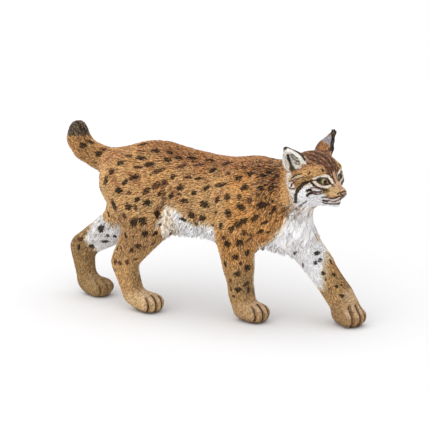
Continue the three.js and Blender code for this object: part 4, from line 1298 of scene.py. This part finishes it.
# One coat piece of tufts that share one form
def makeCoat(name, face, weights, style, form):
    count = len(face)
    roots = atRoots(points, face, weights)
    facing = unit(atRoots(normals, face, weights))
    if "facing" in style:
        facing = layFlat(style["facing"], unit(style["ways"]))
    ways = layFlat(style["ways"] if "ways" in style else atRoots(flow, face, weights), facing)
    ways = turned(ways, facing, dice.normal(0, style["turn"], count) + tuftLie["swirl"] * ripple(roots, 6, 8))
    tuftPoints, faces, relief = growTufts(roots, facing, ways, style, form)
    piece = triangleMesh(name, tuftPoints, faces)
    size = len(tuftPoints) // count
    rows = np.repeat(np.arange(count), size)
    own = {kind: atRoots(values.astype(float), face, weights)[rows] for kind, values in parts.items()}
    own["left"] = own["left"] > 0.5
    tone = dice.random(count)[rows]
    colours = baseColours(tuftPoints, facing[rows], own)
    chance = dice.random(count)
    onNeck = atRoots(parts["neck"], face, weights)
    darkDash = chance < strayPaint["dark dash"] + strayPaint["more on the neck"] * onNeck
    dash = np.where(chance > strayPaint["light dash"], strayPaint["light"], 0)
    dash = np.where(darkDash, dice.uniform(*strayPaint["dark"], count), dash)[rows]
    plain = own["paw"] * plainness["paw"] + atRoots(kinds["shin"], face, weights)[rows] * plainness["shin"]
    plain = plain + own["ear"] * plainness["ear"] + own["head"] * plainness["head"]
    isWhite = colours.min(1) > strayPaint["white from"]
    plain = plain + plainness["white"] * (own["front_leg"] + own["head"]) * isWhite
    plain = np.clip(plain, 0, plainness["most"])
    relief = relief + plain * (strayPaint["plain relief"] - relief)
    dash = dash * (1 - strayPaint["less when plain"] * plain)
    dash = dash * (1 - strayPaint["less on the head"] * own["head"])
    addLooks(piece.data, colours, markValues(tuftPoints, spots, own), np.stack([relief, tone, dash], 1))
    addUv(piece.data, faces, size, weighted(skinUv[loops[face]], weights))
    piece.data.shade_smooth()
    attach(piece, "root")
    print(name, count, "tufts,", len(faces), "triangles")
    return piece


x, y, z = points.T
head = toHead(points)
kinds = {kind: parts[kind].copy() for kind in tuftStyles if kind in parts}
low = ramp(24, 18, z)
kinds["shin"] = low * (kinds["hind_leg"] + kinds["front_leg"])
kinds["hind_leg"] *= 1 - low
kinds["front_leg"] *= 1 - low
kinds["muzzle"] = kinds["head"] * ramp(6, 8.5, head[:, 0])
kinds["head"] = kinds["head"] - kinds["muzzle"]
weight = np.stack(list(kinds.values()), 1)
weight /= np.maximum(weight.sum(1, keepdims=True), 1e-6)
tuftValues = weight @ np.array([tuftStyles[kind] for kind in kinds])

# Bare places, by their reach: soles, nose, lips and the insides of the lids
bareReach = {"sole": 0.9, "nose": 0.95, "lip": 0.22, "socket": 1.9}
socket = np.full(len(points), 9.0)
for side in (1, -1):
    centre, facing, _, _ = eyeFrame(side)
    socket = np.minimum(socket, np.linalg.norm(points - (centre + facing * 0.9), axis=1))
folded = foldOver(head)
isNose = nearPath(folded, [(12.6, 0, -2.7), (12.3, 0.7, -3.3), (12.6, 0, -4.4)], 2) < bareReach["nose"]
isLip = nearPath(folded, faceShape["folds"]["mouth"][0][:3], 1) < bareReach["lip"]
isSole = (z < bareReach["sole"]) & (normals[:, 2] < -0.3)
isBare = isSole | isNose | isLip | (socket < bareReach["socket"])
face, weights = dropRoots(tuftValues[:, 3], 1.0 - isBare)
print(len(face), "tufts to grow")
kindOf = np.array(list(kinds))[np.stack([atRoots(kinds[k], face, weights) for k in kinds], 1).argmax(1)]
across = atRoots(points, face, weights)[:, 1]
groups = {
    "coatTrunkNear": (kindOf == "trunk") & (across < -3),
    "coatTrunkMiddle": (kindOf == "trunk") & (np.abs(across - 1) <= 4),
    "coatTrunkFar": (kindOf == "trunk") & (across > 5),
    "coatFront": np.isin(kindOf, ("neck", "front_leg")),
    "coatRear": np.isin(kindOf, ("hind_leg", "tail")),
    "coatShins": kindOf == "shin",
    "coatPaws": kindOf == "paw",
    "coatHead": np.isin(kindOf, ("head", "muzzle", "ear")),
}
coat = []
tuftSpread = {"length": (0.75, 1.2), "width": (0.8, 1.2), "height": (0.7, 1.3), "lift": (0.2, 1.8)}
for name, chosen in groups.items():
    mine, share = face[chosen], weights[chosen]
    length, width, height, _ = atRoots(tuftValues, mine, share).T
    count = len(mine)
    coat.append(makeCoat(name, mine, share, {
        "length": length * dice.uniform(*tuftSpread["length"], count),
        "width": width * dice.uniform(*tuftSpread["width"], count),
        "height": height * dice.uniform(*tuftSpread["height"], count), "free": np.full(count, 0.2),
        "lift": height * dice.uniform(*tuftSpread["lift"], count), "wave": 0.05, "turn": 13,
    }, tuftForm))


# Longer wavy locks: chest and throat, belly, the fold before the thigh, the lower edges, an ear tip.
# A way is where the locks point, in the body's frame, and a facing is the way their backs look.
lockSets = {  # gap between roots, length, width, height, free share, lift, wave
    "locksChest": (1.0, 4.6, 1.0, 0.5, 0.25, 0.5, 0.28),
    "locksBelly": (0.9, 3.2, 0.8, 0.4, 0.6, 0.2, 0.25),
    "locksFold": (1.15, 4.6, 1.1, 0.7, 0.5, 0.2, 0.35),
    "locksFringe": (0.75, 2.1, 0.75, 0.45, 1.0, 0.0, 0.3),
    "locksEarTip": (0.35, 1.7, 0.4, 0.3, 0.9, 0.0, 0.1),
}
lockSpread = {"length": (0.7, 1.2), "width": (0.75, 1.2), "height": (0.8, 1.2)}
fringeFacing = (0.15, -1.0, 0.1)


def growLocks(name, where, ways=None, facing=None):
    gap, length, width, height, free, lift, wave = lockSets[name]
    face, weights = dropRoots(np.full(len(points), gap), where.astype(float))
    count = len(face)
    style = {
        "length": length * dice.uniform(*lockSpread["length"], count),
        "width": width * dice.uniform(*lockSpread["width"], count),
        "height": height * dice.uniform(*lockSpread["height"], count), "free": np.full(count, free),
        "lift": np.full(count, lift), "wave": wave, "turn": 9,
    }
    if ways is not None:
        style["ways"] = atRoots(np.broadcast_to(ways, points.shape), face, weights)
    if facing is not None:
        style["facing"] = np.tile(facing, (count, 1))
    coat.append(makeCoat(name, face, weights, style, lockForm))


value = whiteness(points, normals, parts)
_, ny, nz = normals.T
onTrunk = parts["trunk"] > 0.6
growLocks("locksChest", (value > 0.2) & (x > 22) & (parts["trunk"] + parts["neck"] > 0.5))
belly = (value > -0.5) & (value < 5) & (x < 12) & (x > -14) & (nz < 0.25) & onTrunk
growLocks("locksBelly", belly, (-0.6, 0.0, -0.8))
fold = (value > 0.2) & (x > -14.5) & (x < -7.5) & (y < 0) & (z > 29) & (ny < -0.2)
growLocks("locksFold", fold & (parts["trunk"] + parts["hind_leg"] > 0.6), (-0.45, 0.0, -0.9))
under = (nz < -0.25) & onTrunk & (x > -12) & (x < 9) & (y < 3)
between = (nz < -0.2) & (x > 14) & (x < 27) & (np.abs(y) < 5) & (z > 24) & (parts["paw"] < 0.1)
hanging = np.array((-0.3, 0.0, -0.95)) + 0.3 * normals * (0, 1, 0)
growLocks("locksFringe", under | between, hanging, fringeFacing)
growLocks("locksEarTip", nearPath(head, earPaint["tips"][1], 3) < 1.5, headTurn @ np.array((0.1, 0.15, 1.0)))
print("coat grown")

bare = spread((isNose | isLip).astype(float), edges, 2)
skinRelief = {"everywhere": 0.12, "bare": 0.6, "paw": 0.36, "shin": 0.2}
smooth = skinRelief["everywhere"] + skinRelief["bare"] * bare
smooth = smooth + skinRelief["paw"] * parts["paw"] + skinRelief["shin"] * kinds["shin"]
skinFur = np.stack([smooth, np.full(len(points), 0.5), np.zeros(len(points))], 1)
addLooks(skin.data, baseColours(points, normals, parts), markValues(points, spots, parts), skinFur)

# The lids' paint, ring by ring from the opening outwards: black, blacker at the corners, and pale
lidPaint = {
    "dark": (0.8, 0.8, 0.8, 0.5, -0.5, -0.9, -1, -1, 0.4),
    "dark at corners": (0, 0, 0, 0.4, 1.1, 0.8, 0, 0, 0),
    "pale": (1, 1, 1, 1, 1, 0.7, 0.15, 0, 1.0),
}
onHead = {kind: np.full(len(lidPoints), float(kind == "head")) for kind in parts}
onHead["left"] = lidPoints[:, 1] > 0
number, around = np.arange(len(lidPoints)), eyeShape["lid points"]
ringOf = number // around % len(lidShape)
lidDark, lidCorner, lidPale = (np.array(lidPaint[key])[ringOf] for key in ("dark", "dark at corners", "pale"))
lidDark = lidDark + np.cos(number % around * 2 / around * math.pi) ** 2 * lidCorner
lidColours = blend(baseColours(lidPoints, normalsOf(lids.data), onHead), bodyPaint["eyelid"], lidPale)
lidMarks = markValues(lidPoints, [], onHead)
lidMarks[:, 0] = np.maximum(lidMarks[:, 0], lidDark)
addLooks(lids.data, lidColours, lidMarks, np.tile((0.6, 0.5, 0.0), (len(lidPoints), 1)))


# Materials
def nodeIn(tree, kind, **settings):
    node = tree.nodes.new(kind)
    for key, value in settings.items():
        setattr(node, key, value)
    return node


class Wiring:
    def __init__(self, tree):
        self.tree = tree

    def feed(self, socket, value):
        if isinstance(value, bpy.types.NodeSocket):
            self.tree.links.new(value, socket)
        else:
            socket.default_value = value

    def through(self, kind, *values, **settings):
        node = nodeIn(self.tree, kind, **settings)
        for n, value in enumerate(values):
            self.feed(node.inputs[n], value)
        return node.outputs

    def attribute(self, name, output):
        return nodeIn(self.tree, "ShaderNodeAttribute", attribute_name=name).outputs[output]

    def axes(self, vector):
        return self.through("ShaderNodeSeparateXYZ", vector)

    def maths(self, operation, a, b=0.0, clamp=False):
        return self.through("ShaderNodeMath", a, b, operation=operation, use_clamp=clamp)[0]

    def plus(self, a, b):
        return self.maths("ADD", a, b)

    def less(self, a, b, clamp=False):
        return self.maths("SUBTRACT", a, b, clamp)

    def times(self, a, b):
        return self.maths("MULTIPLY", a, b)

    def range(self, value, low, high, start=0.0, end=1.0):
        kind = "ShaderNodeMapRange"
        return self.through(kind, value, low, high, start, end, interpolation_type="SMOOTHSTEP")[0]

    def noise(self, place, scale, detail=2.0):
        node = nodeIn(self.tree, "ShaderNodeTexNoise")
        for name, value in (("Vector", place), ("Scale", scale), ("Detail", detail)):
            self.feed(node.inputs[name], value)
        return node.outputs["Fac"]

    def mix(self, share, a, b, blend="MIX"):
        node = nodeIn(self.tree, "ShaderNodeMix", data_type="RGBA", blend_type=blend)
        for name, value in (("Factor", share), (6, a), (7, b)):
            self.feed(node.inputs[name], value)
        return node.outputs[2]


def colourOf(red, green, blue):
    return (*tint(red, green, blue), 1)


coatLook = {
    "dark mark": colourOf(50, 28, 10), "rust mark": colourOf(92, 42, 20), "ragged": 1.3, "tone": 0.5,
    "wash": 1.45, "wash strength": 0.28, "white wash": 0.56, "drybrush": colourOf(230, 206, 176),
    "dash": colourOf(86, 48, 22), "light dash": colourOf(240, 208, 172), "grain": (0.7, 1.24),
    "roughness": 0.6, "specular": 0.2, "bump": 0.35, "bump height": 0.00006,
    "dark edge": (0.0, 0.12), "rust edge": (-0.12, 0.1), "dark cover": (0.1, 0.3, 0.6, 0.95),
    "rough relief": 0.65, "crest": (0.05, 0.75), "dry crest": (0.72, 1.15), "grain band": (0.36, 0.64),
}
noiseScales = {"ragged": 1500, "broad": 260, "fine": 2600, "grain": 1700}  # to the metre


# The coat's paint. The fur attribute holds each tuft's relief, its tone and its dash.
def furPaintGroup():
    group = bpy.data.node_groups.new("furPaint", "ShaderNodeTree")
    for name, kind in (("Color", "Color"), ("Height", "Float"), ("Dark", "Float")):
        group.interface.new_socket(name, in_out="OUTPUT", socket_type="NodeSocket" + kind)
    w = Wiring(group)
    place = nodeIn(group, "ShaderNodeTexCoord").outputs["Object"]
    marks = w.axes(w.attribute("marks", "Vector"))
    relief, tone, dash = w.axes(w.attribute("fur", "Vector"))
    paint = w.attribute("coatColour", "Color")

    # Ragged edges on the marks, and a lighter or darker tone per tuft
    ragged = w.times(w.less(w.noise(place, noiseScales["ragged"]), 0.5), coatLook["ragged"])
    shift = w.plus(ragged, w.times(w.less(tone, 0.5), 0.5))
    dark = w.range(w.plus(marks[0], shift), *coatLook["dark edge"])
    rust = w.range(w.plus(marks[1], shift), *coatLook["rust edge"])
    broad = w.times(w.less(w.noise(place, noiseScales["broad"], 3.0), 0.5), 0.5)
    shade = w.plus(w.times(w.less(tone, 0.5), coatLook["tone"]), broad)
    toned = nodeIn(group, "ShaderNodeHueSaturation")
    w.feed(toned.inputs["Value"], w.plus(shade, 1.0))
    w.feed(toned.inputs["Color"], paint)
    bright = w.maths("POWER", w.through("ShaderNodeRGBToBW", paint)[0], 2.0)
    notBright = w.less(1.0, bright, True)

    # Dashes, reddish marks and dark marks
    darkDash = w.times(w.range(dash, 0.0, 1.0), w.less(0.75, bright, True))
    colour = w.mix(darkDash, toned.outputs[0], coatLook["dash"])
    lightDash = w.times(w.range(dash, 0.0, -1.0), 0.5)
    colour = w.mix(lightDash, colour, w.mix(0.5, colour, coatLook["light dash"]))
    colour = w.mix(w.times(rust, 0.9), colour, coatLook["rust mark"])
    cover = w.range(tone, *coatLook["dark cover"])
    colour = w.mix(w.times(dark, cover), colour, coatLook["dark mark"])

    # The wash in the grooves, the grain, and the dry-brushed crests
    fine = w.noise(place, noiseScales["fine"])
    relief = w.plus(relief, w.times(w.less(fine, 0.5), coatLook["rough relief"]))
    crest = w.range(relief, *coatLook["crest"])
    strength = w.plus(w.times(bright, coatLook["white wash"]), coatLook["wash strength"])
    deeper = w.through("ShaderNodeGamma", colour, coatLook["wash"])[0]
    colour = w.mix(crest, w.mix(1.0, deeper, strength, "MULTIPLY"), colour)
    grain = w.range(w.noise(place, noiseScales["grain"]), *coatLook["grain band"], *coatLook["grain"])
    colour = w.mix(notBright, colour, w.mix(1.0, colour, grain, "MULTIPLY"))
    dry = w.times(w.range(relief, *coatLook["dry crest"]), w.less(0.42, w.times(dark, 0.34)))
    colour = w.mix(w.times(dry, notBright), colour, coatLook["drybrush"])
    out = nodeIn(group, "NodeGroupOutput")
    for name, value in (("Color", colour), ("Height", fine), ("Dark", dark)):
        w.feed(out.inputs[name], value)
    return group


def newMaterial(name):
    material = bpy.data.materials.new(name)
    material.use_nodes = True
    return material, Wiring(material.node_tree), material.node_tree.nodes["Principled BSDF"]


def coatMaterial():
    material, w, shader = newMaterial("paintedFur")
    paint = nodeIn(w.tree, "ShaderNodeGroup", node_tree=furPaintGroup())
    w.feed(shader.inputs["Base Color"], paint.outputs["Color"])
    w.feed(shader.inputs["Roughness"], w.less(coatLook["roughness"], w.times(paint.outputs["Dark"], 0.08)))
    bump = nodeIn(w.tree, "ShaderNodeBump")
    w.feed(bump.inputs["Strength"], coatLook["bump"])
    w.feed(bump.inputs["Distance"], coatLook["bump height"])
    w.feed(bump.inputs["Height"], paint.outputs["Height"])
    w.feed(shader.inputs["Normal"], bump.outputs[0])
    shader.inputs["Specular IOR Level"].default_value = coatLook["specular"]
    return material


eyeLook = {
    "iris": colourOf(168, 156, 100), "iris rim": colourOf(92, 80, 38), "around": colourOf(22, 18, 14),
    "pupil": colourOf(16, 13, 11), "pupil shift": -0.3, "roughness": 0.25, "specular": 0.22,
}


def eyeMaterial():
    material, w, shader = newMaterial("paintedEye")
    gaze = w.axes(w.attribute("gaze", "Vector"))
    aside = w.less(gaze[0], eyeLook["pupil shift"])
    far = w.maths("SQRT", w.plus(w.times(aside, aside), w.times(gaze[1], gaze[1])))
    iris = math.sin(math.radians(eyeShape["iris"]))
    pupil = math.sin(math.radians(eyeShape["pupil"]))
    colour = w.mix(w.range(far, iris * 0.6, iris), eyeLook["iris"], eyeLook["iris rim"])
    colour = w.mix(w.range(far, iris, iris * 1.1), colour, eyeLook["around"])
    colour = w.mix(w.range(far, pupil * 1.05, pupil * 0.9), colour, eyeLook["pupil"])
    w.feed(shader.inputs["Base Color"], colour)
    shader.inputs["Roughness"].default_value = eyeLook["roughness"]
    shader.inputs["Specular IOR Level"].default_value = eyeLook["specular"]
    return material


furMaterial = coatMaterial()
for piece in [skin, lids, *coat]:
    piece.data.materials.clear()
    piece.data.materials.append(furMaterial)
irisMaterial = eyeMaterial()
for eye in eyes:
    eye.data.materials.append(irisMaterial)
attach(skin, "root")
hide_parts(*fleshNodes)
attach(lids, "root")
print("materials set")
